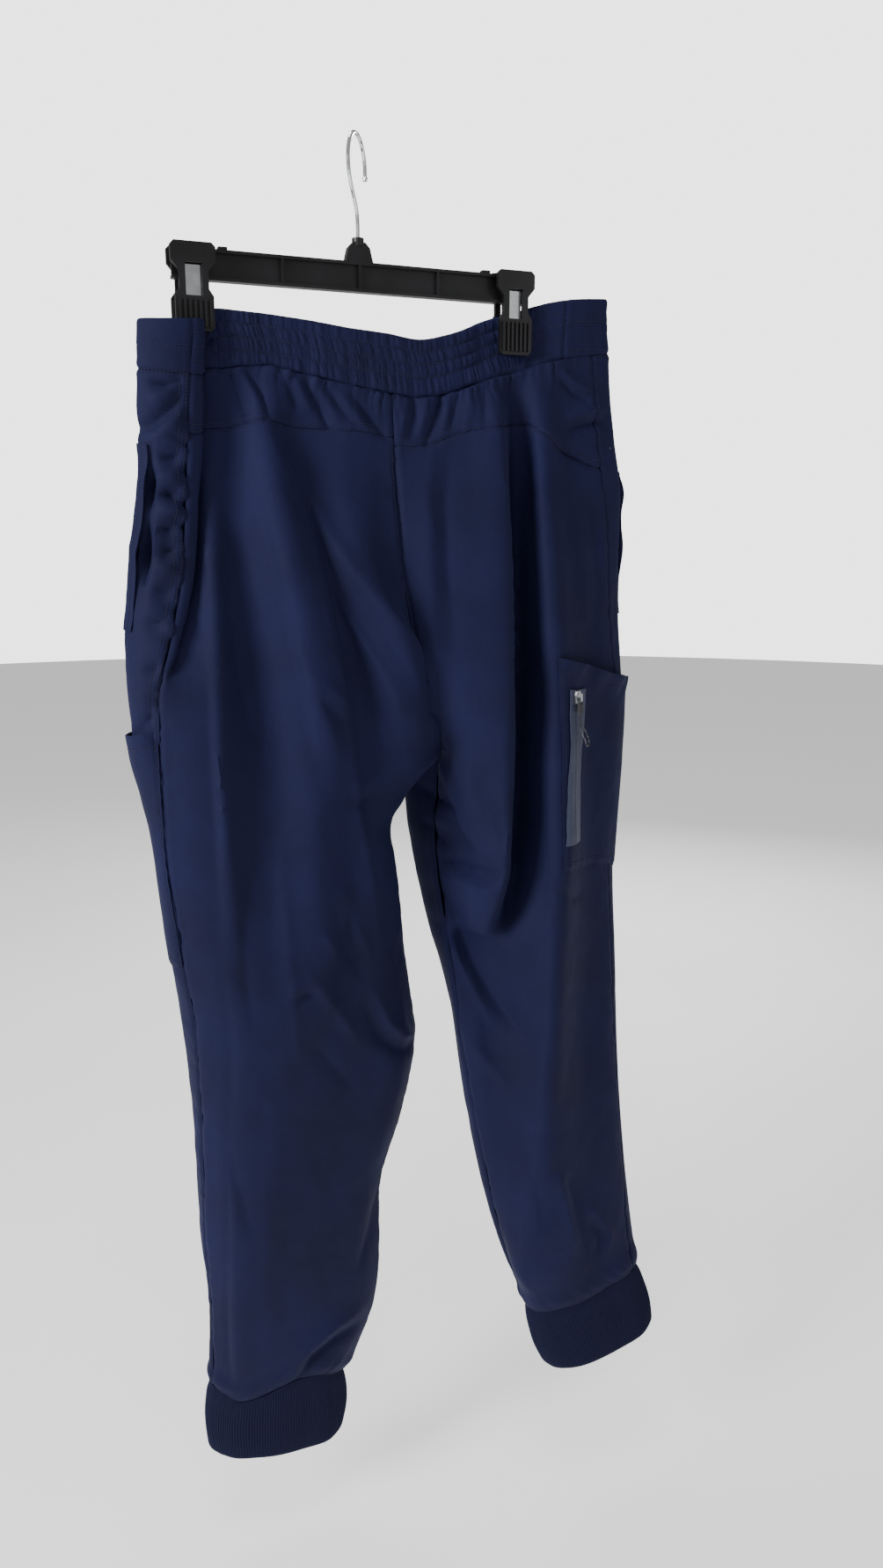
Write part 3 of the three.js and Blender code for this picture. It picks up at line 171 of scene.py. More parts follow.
RIGHT_LINES = [
    ("centre_back", (-149.5, -197, -239, -1078), [*CENTRE_BACK, *RIGHT_INSEAM]),
    ("seam_strip", (-152.5, -199, -239, -1078), [(-152, 50, -9), (-198, 47, -12), (-238, 51, -16),
        (-277, 50, -22), (-336, 49, -30), (-396, 51, -33), (-443, 58, -28), (-485, 69, -17),
        (-508, 80, -9), (-545, 88, -3), (-590, 96, -5), (-620, 93, -8), (-650, 88, -12), (-673, 88, -11),
        (-692, 90, -3), (-728, 96, -9), (-780, 99, -21), (-870, 106, -33), (-930, 112, -39),
        (-985, 120, -44), (-1025, 129, -47), (-1078, 146, -54)]),
    ("seat_swell", (-146, -192, -227, -1078), [(-146, 80, -8), (-190, 84, -10), (-227, 88, -20),
        (-277, 85, -28), (-336, 82, -36), (-396, 80, -42), (-458, 82, -42), (-508, 89, -38),
        (-545, 97, -34), (-590, 104, -34), (-620, 103, -31), (-650, 95, -36), (-673, 94, -28),
        (-692, 101, -8), (-728, 108, -14), (-780, 112, -25), (-870, 115, -40), (-930, 118, -47),
        (-985, 122, -51), (-1025, 128, -53), (-1078, 148, -60)]),
    ("pleat_edge", (-131, -179, -222, -1078), [(-131, 119, -2.2), (-161, 120, -2.2), (-180, 122, -9),
        (-218, 119, -24), (-277, 117, -34), (-382, 116, -44), (-459, 117, -50), (-522, 115, -53),
        (-579, 113, -55), (-613, 113, -54), (-646, 107, -48), (-673, 102, -38), (-692, 114, -20),
        (-728, 122, -26), (-780, 126, -34), (-870, 125, -48), (-930, 124, -55), (-985, 125, -58),
        (-1025, 128, -59), (-1078, 151, -65)]),
    ("pleat_bottom", (-126, -175, -218, -1077), [(-126, 137, -2.2), (-161, 137, -2.2), (-178, 138, -5),
        (-216, 142, -4), (-276, 148, -2), (-386, 152, 0), (-469, 153, 1), (-536, 152, 0), (-595, 149, -4),
        (-628, 145, -11), (-660, 135, -18), (-692, 130, -36), (-728, 136, -42), (-780, 137, -46),
        (-870, 133, -56), (-930, 130, -62), (-985, 128, -64), (-1025, 129, -65), (-1077, 156, -69)]),
    ("pleat_facet", (-122.5, -172, -218, -1076), [(-123, 148, -2.2), (-161, 148, -2.2), (-172, 147, -6),
        (-216, 150, -8), (-276, 155, -11), (-385, 157, -17), (-466, 159, -19), (-548, 159, -25),
        (-622, 156, -37), (-692, 148, -50), (-728, 149, -54), (-780, 147, -58), (-870, 141, -64),
        (-930, 135, -69), (-985, 131, -70), (-1025, 131, -70), (-1076, 162, -72)]),
    ("crease", (-119.5, -169, -222, -1074), [(-119, 157, -2.2), (-161, 156, -2.2), (-172, 156, -8),
        (-216, 156, -18), (-261, 156, -24), (-337, 160, -34), (-419, 165, -42), (-503, 168, -46),
        (-619, 167, -54), (-694, 162, -59), (-780, 155, -66), (-867, 148, -71), (-929, 140, -74),
        (-985, 135, -74), (-1025, 137, -74), (-1074, 170, -75)]),
    ("side_panel", (-112, -161, -243, -1063), [(-112, 190, -6), (-161, 187, -8), (-215, 189, -14),
        (-276, 195, -18), (-338, 202, -22), (-423, 209, -24), (-511, 214, -24), (-631, 215, -29),
        (-728, 210, -36), (-817, 206, -48), (-908, 208, -60), (-1005, 214, -72), (-1063, 222, -78)]),
    ("side_seam", (-109, -156, -254, -1056), [(-110, 216, -5), (-156, 217, -6), (-226, 223, -10),
        (-260, 229, -10), (-307, 235, -10), (-380, 241, -10), (-443, 249, -8), (-516, 254, -8),
        (-595, 249, -10), (-639, 247, -14), (-730, 249, -22), (-831, 250, -34), (-926, 253, -47),
        (-1000, 255, -58), (-1056, 257, -71)]),
    ("outer_right", (-107.5, -153, -252, -1054), [(-108, 234, 2), (-181, 239.5, 2), (-227, 246, 2),
        (-283, 256, 4), (-315, 256, 4), (-373, 258, 6), (-441, 265, 8), (-476, 268.5, 8), (-538, 267, 7),
        (-600, 262, 3), (-645, 259, 0), (-745, 260, -10), (-838, 260, -20), (-934, 263, -32),
        (-1000, 266, -46), (-1054, 267, -62)]),
    ("round_right", (-110, -154, -250, -1056), [(-110, 224, 7), (-181, 230, 10), (-227, 236, 13),
        (-283, 245, 16), (-373, 247, 20), (-441, 255, 22), (-538, 258, 23), (-600, 254, 20),
        (-645, 250, 17), (-745, 249, 8), (-838, 249, -2), (-934, 251, -14), (-1000, 254, -28),
        (-1056, 257, -50)]),
    ("front_e", (-121, -162, -248, -1063), [(-121, 160, 2.2), (-161, 161, 2.2), (-190, 178, 10),
        (-230, 194, 19), (-300, 202, 27), (-380, 208, 31), (-480, 214, 34), (-545, 214, 36),
        (-620, 212, 34), (-700, 208, 28), (-780, 205, 20), (-870, 205, 8), (-950, 209, -6),
        (-1010, 214, -22), (-1063, 220, -44)]),
    ("front_f", (-135, -178, -244, -1071), [(-135, 118, 2.2), (-161, 119, 2.2), (-190, 126, 12),
        (-230, 138, 20), (-300, 148, 22), (-380, 152, 30), (-480, 152, 40), (-545, 150, 44),
        (-620, 150, 42), (-700, 150, 36), (-780, 150, 26), (-870, 150, 12), (-950, 158, -3),
        (-1010, 168, -17), (-1071, 184, -40)]),
    ("front_g", (-150, -194, -241, -1075), [(-150, 80, 8), (-197, 82, 14), (-236, 85, 18), (-300, 88, 30),
        (-380, 92, 36), (-450, 98, 40), (-508, 102, 44), (-545, 94, 48), (-620, 96, 46), (-700, 104, 38),
        (-780, 110, 26), (-870, 114, 11), (-950, 124, -5), (-1010, 138, -20), (-1075, 159, -42)]),
    ("inner_front", (-154.5, -199, -240, -1078), [(-154, 54, 10), (-197, 55, 14), (-240, 56, 18),
        (-300, 57, 27), (-380, 62, 33), (-450, 72, 33), (-485, 78, 30), (-508, 72, 28), (-530, 60, 36),
        (-558, 53, 42), (-606, 58, 39), (-650, 65, 33), (-685, 72, 28), (-719, 80, 19), (-771, 88, 5),
        (-850, 94, -9), (-932, 106, -22), (-985, 117, -29), (-1029, 130, -35), (-1078, 149, -43)]),
    ("centre_front", (-156, -200, -239, -1078), [*CENTRE_FRONT, *RIGHT_INSEAM]),
]


LEFT_NAMES = [one[0] for one in LEFT_LINES]
RIGHT_NAMES = [one[0] for one in RIGHT_LINES]
LEFT_SIDE = LEFT_NAMES.index("side_seam")
RIGHT_SIDE = RIGHT_NAMES.index("side_seam")
RIGHT_PANEL = RIGHT_NAMES.index("side_panel")
LEFT_LAST = len(LEFT_LINES) - 1
RIGHT_LAST = len(RIGHT_LINES) - 1


# ---------------------------------------------------------------- reading the lines
def smooth_step(t):
    """0 below 0, 1 above 1, and 3t^2 - 2t^3 between."""
    t = np.clip(t, 0.0, 1.0)
    return t * t * (3 - 2 * t)


def gentle_slopes(x, value):
    """Slopes at the stations of a curve that never overshoots them: the weighted harmonic mean of
    the rises on both sides, or 0 where they differ in sign."""
    step = np.diff(x)
    rise = np.diff(value) / step
    slopes = np.empty_like(value)
    slopes[0], slopes[-1] = rise[0], rise[-1]
    before, after = rise[:-1], rise[1:]
    weight_a = 2 * step[1:] + step[:-1]
    weight_b = step[1:] + 2 * step[:-1]
    same = before * after > 0
    safe_a = np.where(same, before, 1.0)
    safe_b = np.where(same, after, 1.0)
    slopes[1:-1] = np.where(same, (weight_a + weight_b) / (weight_a / safe_a + weight_b / safe_b), 0.0)
    return slopes


def read_run(run, column, z):
    """Value of a column of a run at the heights z: a cubic between its stations."""
    table = np.array(run, float)
    x, value = -table[:, 0], table[:, column]
    slopes = gentle_slopes(x, value)
    at = np.clip(-z, x[0], x[-1])
    i = np.clip(np.searchsorted(x, at, side="right") - 1, 0, len(x) - 2)
    h = x[i + 1] - x[i]
    t = (at - x[i]) / h
    rise = (value[i + 1] - value[i]) * t * t * (3 - 2 * t)
    return value[i] + rise + h * (slopes[i] * t * (1 - t) ** 2 - slopes[i + 1] * t * t * (1 - t))


def line_points(one, rows):
    """Points of a line at the rows: 0 waist edge, 1 band seam, 2 yoke seam, 3 hip, 4 crotch, 5 cuff."""
    _, (waist, band, yoke, cuff), run = one
    z = np.interp(rows, range(6), [waist, band, yoke, HIP_Z, CROTCH_Z, cuff])
    return np.stack([read_run(run, 1, z), read_run(run, 2, z), z], axis=-1)


def section_points(lines, other, rows):
    """Points of all the lines of a half, with a ghost before and after that makes the section turn
    into the other half above the crotch and round the leg below it."""
    points = np.stack([line_points(one, rows) for one in lines])
    leg = smooth_step((rows - 3.8) / 0.2)[:, None]
    first = line_points(other[1], rows) * (1 - leg) + points[-2] * leg
    last = line_points(other[-2], rows) * (1 - leg) + points[1] * leg
    return np.concatenate([first[None], points, last[None]])


def on_sections(points, places):
    """Smooth curve through each section's points: a cubic whose tangents weigh the two neighbours by
    their distances. places is one row of places for each section."""
    count, rows = points.shape[0] - 3, np.arange(points.shape[1])[:, None]
    i = np.clip(np.floor(places).astype(int), 0, count - 1)
    t = (places - i)[..., None]
    p, a, b, n = (points[i + k, rows] for k in range(4))
    before = np.linalg.norm(a - p, axis=-1, keepdims=True)
    span = np.linalg.norm(b - a, axis=-1, keepdims=True)
    after = np.linalg.norm(n - b, axis=-1, keepdims=True)
    start = ((a - p) * span / before + (b - a) * before / span) / (before + span)
    end = ((b - a) * after / span + (n - b) * span / after) / (span + after)
    middle = a + (b - a) * t * t * (3 - 2 * t)
    return middle + span * (start * t * (1 - t) ** 2 - end * t * t * (1 - t))


HALVES = {"left": (LEFT_LINES, RIGHT_LINES), "right": (RIGHT_LINES, LEFT_LINES)}


def cloth(half, places, rows):
    """Middle surface of a half's cloth on a grid: rows down, places across."""
    places = np.broadcast_to(places, (len(rows), np.shape(places)[-1]))
    return on_sections(section_points(*HALVES[half], rows), places)


def ring(side, places, rows):
    """The same across both halves. side 'back' counts from the centre back and 'front' from the
    centre front: negative places on the left half, positive on the right."""
    left = np.clip(-places if side == "back" else LEFT_LAST + places, 0, LEFT_LAST)
    right = np.clip(places if side == "back" else RIGHT_LAST - places, 0, RIGHT_LAST)
    on_left = np.broadcast_to(places < 0, (len(rows), places.shape[-1]))[..., None]
    return np.where(on_left, cloth("left", left, rows), cloth("right", right, rows))


def row_at(half, z):
    """Row of a height below the yoke, as the pockets use it."""
    steps = [CUFF_Z[half], CROTCH_Z, HIP_Z, YOKE_Z]
    return np.interp(z, steps, [5, 4, 3, 2])


# ---------------------------------------------------------------- unevenness
LATTICE = 4096


def lattice(seed):
    """The random values that the wandering lines and surfaces of a seed run through."""
    return np.random.default_rng(seed).uniform(-1, 1, LATTICE)


def wander(x, cell, seed):
    """Smooth random line between -1 and 1, whose values change about once in each cell."""
    values, x = lattice(seed), np.asarray(x, float) / cell + 1000.0
    i = np.floor(x).astype(int)
    t = smooth_step(x - i)
    return values[i % LATTICE] * (1 - t) + values[(i + 1) % LATTICE] * t


def rumple(x, y, cell, seed):
    """Smooth random surface between -1 and 1 over two coordinates."""
    values = lattice(seed)
    x, y = np.asarray(x, float) / cell + 500.0, np.asarray(y, float) / cell + 500.0
    i, j = np.floor(x).astype(int), np.floor(y).astype(int)
    u, v = smooth_step(x - i), smooth_step(y - j)
    at = lambda a, b: values[(a * 57 + b * 131 + (a * b) % 911) % LATTICE]
    low = at(i, j) * (1 - u) + at(i + 1, j) * u
    high = at(i, j + 1) * (1 - u) + at(i + 1, j + 1) * u
    return low * (1 - v) + high * v


def puffs(x, cell, seed, roundness=0.7):
    """Rounded puffs with sharp valleys between them, unevenly spaced: |wander| to a power."""
    return np.abs(wander(x, cell, seed)) ** roundness


# ---------------------------------------------------------------- listed creases
# By face of the garment, each as (rise, wide, path). rise: height of the crest in units of
# CREASE_UNIT, or depth of the trough below 0. wide: half width in millimetres of its left and right
# flank. path: points (x, z) down the crease.
CREASE_UNIT = 1.25                        # in millimetres
CREASE_STEPS = 24                         # that each path is divided into
CREASES = {
    "back": [
        # long diagonal folds from the left of the yoke over the seat to the inner thigh
        (8, (24, 7), [(-84, -232), (-68, -279), (-55, -335), (-45, -393), (-36, -452), (-26, -515),
            (-14, -580), (-3, -640)]),
        (-4.5, (14, 9), [(-107, -236), (-94, -300), (-83, -363), (-72, -420), (-64, -480), (-50, -540)]),
        (8, (26, 6), [(-60, -262), (-33, -314), (-10, -350), (11, -379), (35, -411), (55, -460),
            (70, -498)]),
        (-3.5, (7, 9), [(-20, -345), (-6, -372), (12, -404), (30, -440), (44, -476)]),
        (4, (10, 5), [(-46, -330), (-22, -378), (-2, -409), (16, -442), (24, -472)]),
        (-4, (12, 14), [(-120, -320), (-120, -380), (-116, -430), (-100, -500)]),
        (3, (9, 5), [(-74, -390), (-62, -430), (-50, -470), (-40, -500)]),
        (2.6, (5, 4), [(-56, -430), (-42, -446), (-28, -460)]),
        (-2.4, (5, 5), [(-60, -440), (-48, -458), (-36, -470)]),
        (-4, (16, 10), [(-112, -560), (-122, -610), (-127, -660), (-122, -730)]),
        (5, (30, 9), [(-139, -370), (-144, -446), (-141, -518), (-134, -600), (-128, -680)]),
        (-4, (10, 14), [(-22, -580), (-28, -630), (-36, -680), (-48, -740)]),
        (3, (14, 20), [(-2, -560), (4, -620), (2, -690)]),
        (3, (20, 7), [(-90, -560), (-88, -630), (-84, -700), (-82, -770)]),
        # both borders of the deep fold below the right clip
        (4.5, (20, 4), [(117, -228), (121, -300), (122, -380), (119, -450), (112, -520)]),
        (4, (5, 16), [(158, -180), (158, -277), (162, -384), (167, -504), (167, -619), (162, -695),
            (155, -780), (148, -868), (136, -945)]),
        (-4, (6, 8), [(136, -236), (139, -330), (142, -430), (142, -520), (138, -600)]),
        # below the crotch on the left leg
        (-3, (5, 6), [(-32, -532), (-20, -543), (-6, -536)]),
        (2.5, (6, 6), [(-28, -520), (-14, -528), (4, -518)]),
        # strip beside the centre back seam
        (-2.5, (4, 3), [(26, -240), (27, -278), (29, -336), (35, -381), (44, -430)]),
        (3, (13, 6), [(60, -240), (52, -278), (52, -336), (53, -381), (54, -420)]),
        (-3, (6, 10), [(72, -246), (66, -290), (66, -350), (68, -410)]),
        # knee and calf of the left leg
        (5.5, (5, 9), [(-8, -716), (8, -756), (24, -772), (44, -782)]),
        (-5.5, (6, 8), [(-16, -728), (0, -768), (18, -786), (40, -796)]),
        (2.5, (5, 8), [(-36, -615), (-22, -660), (-8, -692)]),
        (-3, (5, 8), [(-46, -628), (-32, -672), (-16, -706)]),
        (2.6, (4, 5), [(-88, -706), (-78, -698), (-66, -698)]),
        (-2.6, (4, 5), [(-84, -714), (-74, -708), (-62, -708)]),
        (2.5, (4, 5), [(-56, -652), (-46, -670), (-43, -682)]),
        (3, (6, 12), [(-74, -684), (-44, -730), (-20, -772)]),
        (-2.4, (8, 9), [(-66, -756), (-44, -790), (-28, -812)]),
        (2.4, (8, 14), [(-162, -852), (-150, -884), (-140, -935)]),
        (-2.4, (7, 12), [(-150, -850), (-138, -890), (-128, -940)]),
        (-3, (6, 12), [(6, -935), (-6, -980), (-22, -1021)]),
        (4, (6, 9), [(-94, -1108), (-78, -1085), (-50, -1068), (-16, -1062)]),
        (-4, (6, 7), [(-88, -1114), (-70, -1096), (-44, -1082), (-16, -1078)]),
        # inner thigh of the right leg
        (7, (4, 10), [(76, -512), (84, -540), (90, -560), (98, -584), (108, -606)]),
        (-5, (5, 6), [(96, -520), (100, -548), (108, -580), (114, -604)]),
        (-5, (4, 5), [(68, -552), (80, -560), (92, -568)]),
        (4, (4, 5), [(68, -570), (79, -578), (88, -586)]),
        (-5, (4, 5), [(66, -588), (79, -597), (90, -603)]),
        (-5.5, (7, 4), [(74, -614), (92, -620), (112, -620)]),
        (5, (5, 9), [(80, -632), (96, -636), (110, -638)]),
        (-5, (5, 9), [(70, -642), (84, -668), (92, -690), (104, -712)]),
        (5.5, (5, 14), [(68, -668), (84, -704), (100, -740), (116, -772)]),
        (-6, (6, 12), [(86, -680), (104, -722), (122, -760), (140, -786)]),
        (3.5, (6, 12), [(80, -760), (100, -800), (124, -832), (140, -852)]),
        # calf of the right leg
        (4, (7, 9), [(164, -918), (171, -945), (178, -975), (188, -1008)]),
        (-4, (7, 8), [(176, -925), (184, -950), (192, -980), (204, -1030)]),
        (3.5, (6, 7), [(196, -962), (213, -981), (230, -1004), (226, -1026)]),
        (-3.5, (5, 6), [(204, -984), (218, -1002), (216, -1024)]),
        (-2.6, (8, 12), [(132, -880), (142, -930), (150, -980)]),
        # at the right hip, below the clip and above the cargo pocket
        (-4, (4, 5), [(190, -223), (206, -217), (222, -214), (238, -214)]),
        (3.4, (4, 5), [(188, -212), (206, -206), (222, -203), (236, -204)]),
        (3, (4, 5), [(182, -170), (198, -182), (216, -188)]),
        (-2.6, (3, 4), [(182, -178), (198, -191), (214, -196)]),
        (-3, (5, 6), [(170, -234), (193, -244), (222, -254)]),
        (-2.6, (8, 10), [(214, -270), (220, -320), (226, -380)]),
        (2.2, (7, 9), [(200, -270), (204, -330), (208, -400)]),
        (-2.4, (5, 6), [(168, -634), (186, -650), (206, -655)]),
        # tucks that hang from the waistband over the yoke
        (-2.9, (4, 5), [(-113, -184), (-106, -200), (-99, -226)]),
        (2.4, (4, 5), [(-104, -182), (-95, -198), (-89, -214)]),
        (-3.6, (3, 5), [(-99, -183), (-88, -200), (-82, -222)]),
        (-2.4, (3, 4), [(-68, -187), (-62, -202), (-57, -214)]),
        (2.4, (4, 5), [(-60, -187), (-52, -202), (-46, -214)]),
        (-3.6, (3, 6), [(-52, -188), (-41, -207), (-30, -230)]),
        (2.6, (5, 5), [(-44, -189), (-32, -207), (-22, -222)]),
        (-2.2, (3, 5), [(-35, -191), (-23, -208), (-11, -222)]),
        (2.4, (5, 6), [(-26, -194), (-13, -211), (4, -230)]),
        (-3, (3, 6), [(-12, -198), (2, -216), (18, -234)]),
        (2.2, (5, 6), [(32, -200), (34, -216), (30, -234)]),
        (-2.4, (4, 5), [(44, -198), (44, -216), (38, -236)]),
        (2.4, (5, 5), [(56, -194), (52, -214), (46, -232)]),
        (-4.2, (3, 6), [(72, -188), (64, -212), (52, -240)]),
        (2.2, (4, 5), [(80, -188), (73, -210), (66, -232)]),
        (-2.2, (4, 4), [(88, -187), (81, -208), (74, -228)]),
        (1.9, (4, 5), [(98, -184), (93, -204), (88, -226)]),
        (-2.2, (4, 4), [(110, -182), (108, -200), (104, -224)]),
    ],
    "flap": [
        # the folded-over flap at the left
        (-5.6, (5, 6.5), [(-150, -204), (-163, -218), (-174, -228), (-188, -233)]),
        (5.3, (5, 7.5), [(-150, -216), (-164, -229), (-180, -240)]),
        (-4.7, (4, 5.5), [(-150, -194), (-162, -200), (-176, -198)]),
        (4.7, (5, 6.5), [(-154, -196), (-164, -206), (-178, -210)]),
        (-4.7, (4, 5.5), [(-152, -250), (-163, -254), (-174, -252)]),
        (4.7, (4, 5.5), [(-152, -262), (-163, -267), (-176, -268)]),
        (-5, (4, 5.5), [(-153, -276), (-164, -281), (-176, -280)]),
        (4.3, (4, 5.5), [(-154, -290), (-165, -294), (-175, -292)]),
        (-5, (4, 5.5), [(-155, -304), (-168, -308), (-178, -306)]),
        (-4.3, (4, 5.5), [(-157, -322), (-168, -325), (-176, -324)]),
        (4.7, (4, 6.5), [(-158, -332), (-170, -337), (-180, -338)]),
        (-4.7, (4, 5.5), [(-160, -352), (-172, -356), (-184, -355)]),
        (-4, (4, 5.5), [(-166, -376), (-178, -380), (-190, -380)]),
        (-4, (5, 6.5), [(-176, -412), (-186, -418), (-196, -420)]),
        (-4, (6, 7.5), [(-176, -440), (-188, -454), (-200, -470)]),
    ],
    "front": [
        # the front: partners of the folds on the back
        (5, (10, 18), [(112, -250), (94, -330), (76, -400), (64, -460)]),
        (-5, (10, 14), [(84, -250), (70, -330), (58, -400)]),
        (5, (14, 9), [(-52, -250), (-30, -320), (4, -400), (36, -460)]),
        (-4.5, (12, 8), [(-26, -250), (-4, -330), (22, -400)]),
        (4, (14, 20), [(-112, -300), (-98, -420), (-84, -520), (-80, -640)]),
        (-4, (12, 14), [(-76, -300), (-66, -420), (-52, -520)]),
        (4, (14, 12), [(150, -280), (150, -420), (150, -540), (152, -640)]),
        (-4, (12, 16), [(190, -290), (184, -430), (178, -540), (176, -640)]),
        (3.4, (8, 14), [(-92, -756), (-50, -788), (-4, -804)]),
        (-3.4, (8, 10), [(-88, -774), (-46, -806), (-2, -820)]),
        (3.4, (8, 14), [(108, -800), (150, -822), (204, -830)]),
        (-3.4, (8, 10), [(112, -818), (154, -840), (202, -848)]),
        (3, (6, 9), [(-60, -690), (-30, -712), (4, -722)]),
        (-3, (5, 6), [(60, -545), (76, -556), (92, -560)]),
        (-3, (5, 6), [(62, -580), (78, -590), (94, -594)]),
        (3.5, (7, 9), [(-132, -1090), (-100, -1072), (-62, -1056)]),
        (-3.5, (7, 8), [(-128, -1102), (-96, -1086), (-60, -1070)]),
        (-3.5, (7, 9), [(162, -1030), (196, -1018), (232, -1010)]),
        (3, (6, 8), [(170, -1014), (200, -1002), (230, -996)]),
        (-3, (5, 7), [(-20, -206), (-14, -240), (-10, -275)]),
        (3, (5, 7), [(60, -206), (62, -240), (66, -280)]),
    ],
}


def crease_height(side, points):
    """Sum of the creases of a side: each has a narrow crest with long flanks across its path, one
    flank wider than the other, and fades out towards both ends."""
    x, z = points[..., 0].ravel(), points[..., 2].ravel()
    total = np.zeros_like(x)
    for rise, (left_width, right_width), path in CREASES[side]:
        path = np.array(path, float)
        order, fine = np.linspace(0, 1, len(path)), np.linspace(0, 1, CREASE_STEPS + 1)
        route = np.stack([np.interp(fine, order, path[:, k]) for k in (0, 1)], axis=-1)
        for _ in range(2):
            route[1:-1] = 0.25 * route[:-2] + 0.5 * route[1:-1] + 0.25 * route[2:]
        reach = 3 * max(left_width, right_width)
        low, high = route.min(0) - reach, route.max(0) + reach
        near = (x > low[0]) & (x < high[0]) & (z > low[1]) & (z < high[1])
        if not near.any():
            continue
        ahead = np.diff(route, axis=0)
        gap = np.stack([x[near], z[near]], axis=-1)[:, None] - route[None, :-1]
        share = np.clip((gap * ahead).sum(-1) / (ahead ** 2).sum(-1), 0, 1)
        offset = gap - share[..., None] * ahead
        away = np.linalg.norm(offset, axis=-1)
        picked, closest = np.arange(len(away)), away.argmin(1)
        away, offset, along = away[picked, closest], offset[picked, closest], ahead[closest]
        turned = along[:, 0] * offset[:, 1] - along[:, 1] * offset[:, 0]
        width = np.where(turned < 0, left_width, right_width)
        position = (closest + share[picked, closest]) / CREASE_STEPS
        fade = np.sin(np.pi * np.clip(position, 0.01, 0.99)) ** 0.5
        total[near] += CREASE_UNIT * rise * fade * np.exp(-((away / width) ** 1.2))
    return total.reshape(points.shape[:-1])


# ---------------------------------------------------------------- grids
def spaced(total, step, fine):
    """Distances from 0 to total about a step apart, with the fine ones repeated at both ends."""
    fine = np.array(fine, float)
    count = max(int(round((total - 2 * fine[-1]) / step)), 2)
    middle = np.linspace(fine[-1], total - fine[-1], count + 1)
    return np.concatenate([fine[:-1], middle, total - fine[::-1][1:]])


EDGE = [0, 0.5, 1.2, 2, 3, 4.4, 6, 7.4, 8.6, 10]


def down_rows(half_lines, first, last, step, fine=EDGE):
    """Rows from first to last whose middle line is cut at those distances in height."""
    dense = np.linspace(first, last, 400)
    z = line_points(half_lines[len(half_lines) // 2], dense)[:, 2]
    depth = z[0] - z
    return np.interp(spaced(depth[-1], step, fine), depth, dense)


def across_places(surface, first, last, rows, step, fine=EDGE, setbacks=None):
    """Places that divide every section between two places evenly by length, with fine columns at fixed
    distances from both edges. setbacks: how far each row's two edges stay inside the places."""
    dense = np.linspace(first, last, 500)
    length = run_lengths(surface(dense[None], rows), 1)
    back = np.zeros((len(rows), 2)) if setbacks is None else setbacks
    net = length[:, -1] - back.sum(1)
    count = max(int(round((np.median(net) - 2 * fine[-1]) / step)), 2)
    shares = np.linspace(0, 1, count + 1)
    fine = np.array(fine, float)
    places = np.empty((len(rows), count - 1 + 2 * len(fine)))
    for r, run in enumerate(length):
        inner = fine[-1] + shares * (net[r] - 2 * fine[-1])
        cuts = np.concatenate([fine[:-1], inner, net[r] - fine[::-1][1:]])
        places[r] = np.interp(back[r, 0] + cuts, run, dense)
    return places


def outward_normals(grid, sign):
    """Unit normals of a grid: down crossed with across, turned outwards by sign."""
    down, across = np.gradient(grid, axis=0), np.gradient(grid, axis=1)
    normal = np.cross(down, across)
    return sign * normal / np.maximum(np.linalg.norm(normal, axis=-1, keepdims=True), 1e-9)


def run_lengths(grid, axis):
    """Distance along the grid from its first row or column."""
    steps = np.linalg.norm(np.diff(grid, axis=axis), axis=-1)
    start = np.zeros_like(np.take(grid[..., 0], [0], axis=axis))
    return np.concatenate([start, steps.cumsum(axis)], axis=axis)


def read_along(cuts, length, values):
    """Points or directions at distances along a run, between those of its own points."""
    return np.stack([np.interp(cuts, length, values[:, k]) for k in range(3)], -1)


class Piece:
    """A cut piece of cloth on a grid: its middle surface, outward normals and the distances in
    millimetres from its four edges."""

    def __init__(self, grid, sign):
        """sign: 1 or -1, whichever turns down crossed with across outwards."""
        self.grid, self.sign = grid, sign
        self.normals = outward_normals(grid, sign)
        self.measure()

    def measure(self):
        """Distances from the start, the top, the end and the foot edge."""
        self.s = run_lengths(self.grid, 1)
        self.t = run_lengths(self.grid, 0)
        self.from_end = self.s[:, -1:] - self.s
        self.from_foot = self.t[-1:] - self.t

    def lift(self, amount):
        """Moves the surface along its normals, then works out its normals again."""
        self.grid = self.grid + self.normals * np.asarray(amount)[..., None]
        self.normals = outward_normals(self.grid, self.sign)

    def edge(self, name):
        """Distances from the edge of that name."""
        return {"start": self.s, "end": self.from_end, "top": self.t, "foot": self.from_foot}[name]


def seam_roll(piece, *names, depth=0.9, seed=5):
    """Draws the cloth in along seamed edges: a trough at the seam, a soft bead beside it where the
    allowance lies below, and small puckers that die out 9 mm away."""
    lift = np.zeros_like(piece.s)
    for k, name in enumerate(names):
        d = piece.edge(name)
        along = piece.t if name in ("start", "end") else piece.s
        lift -= depth * np.exp(-((d / 1.5) ** 2))
        lift += 0.35 * np.exp(-(((d - 4.2) / 2.4) ** 2))
        lift += 0.45 * wander(along, 5.5, seed + k) * np.exp(-((d / 8) ** 2))
    piece.lift(lift)


def stitch_groove(piece, name, *distances, depth=0.3):
    """Presses the cloth in along rows of stitches at distances from an edge."""
    d = piece.edge(name)
    piece.lift(-depth * sum(np.exp(-(((d - at) / 0.8) ** 2)) for at in distances))


# ---------------------------------------------------------------- meshes
SHARP_ANGLE = 60


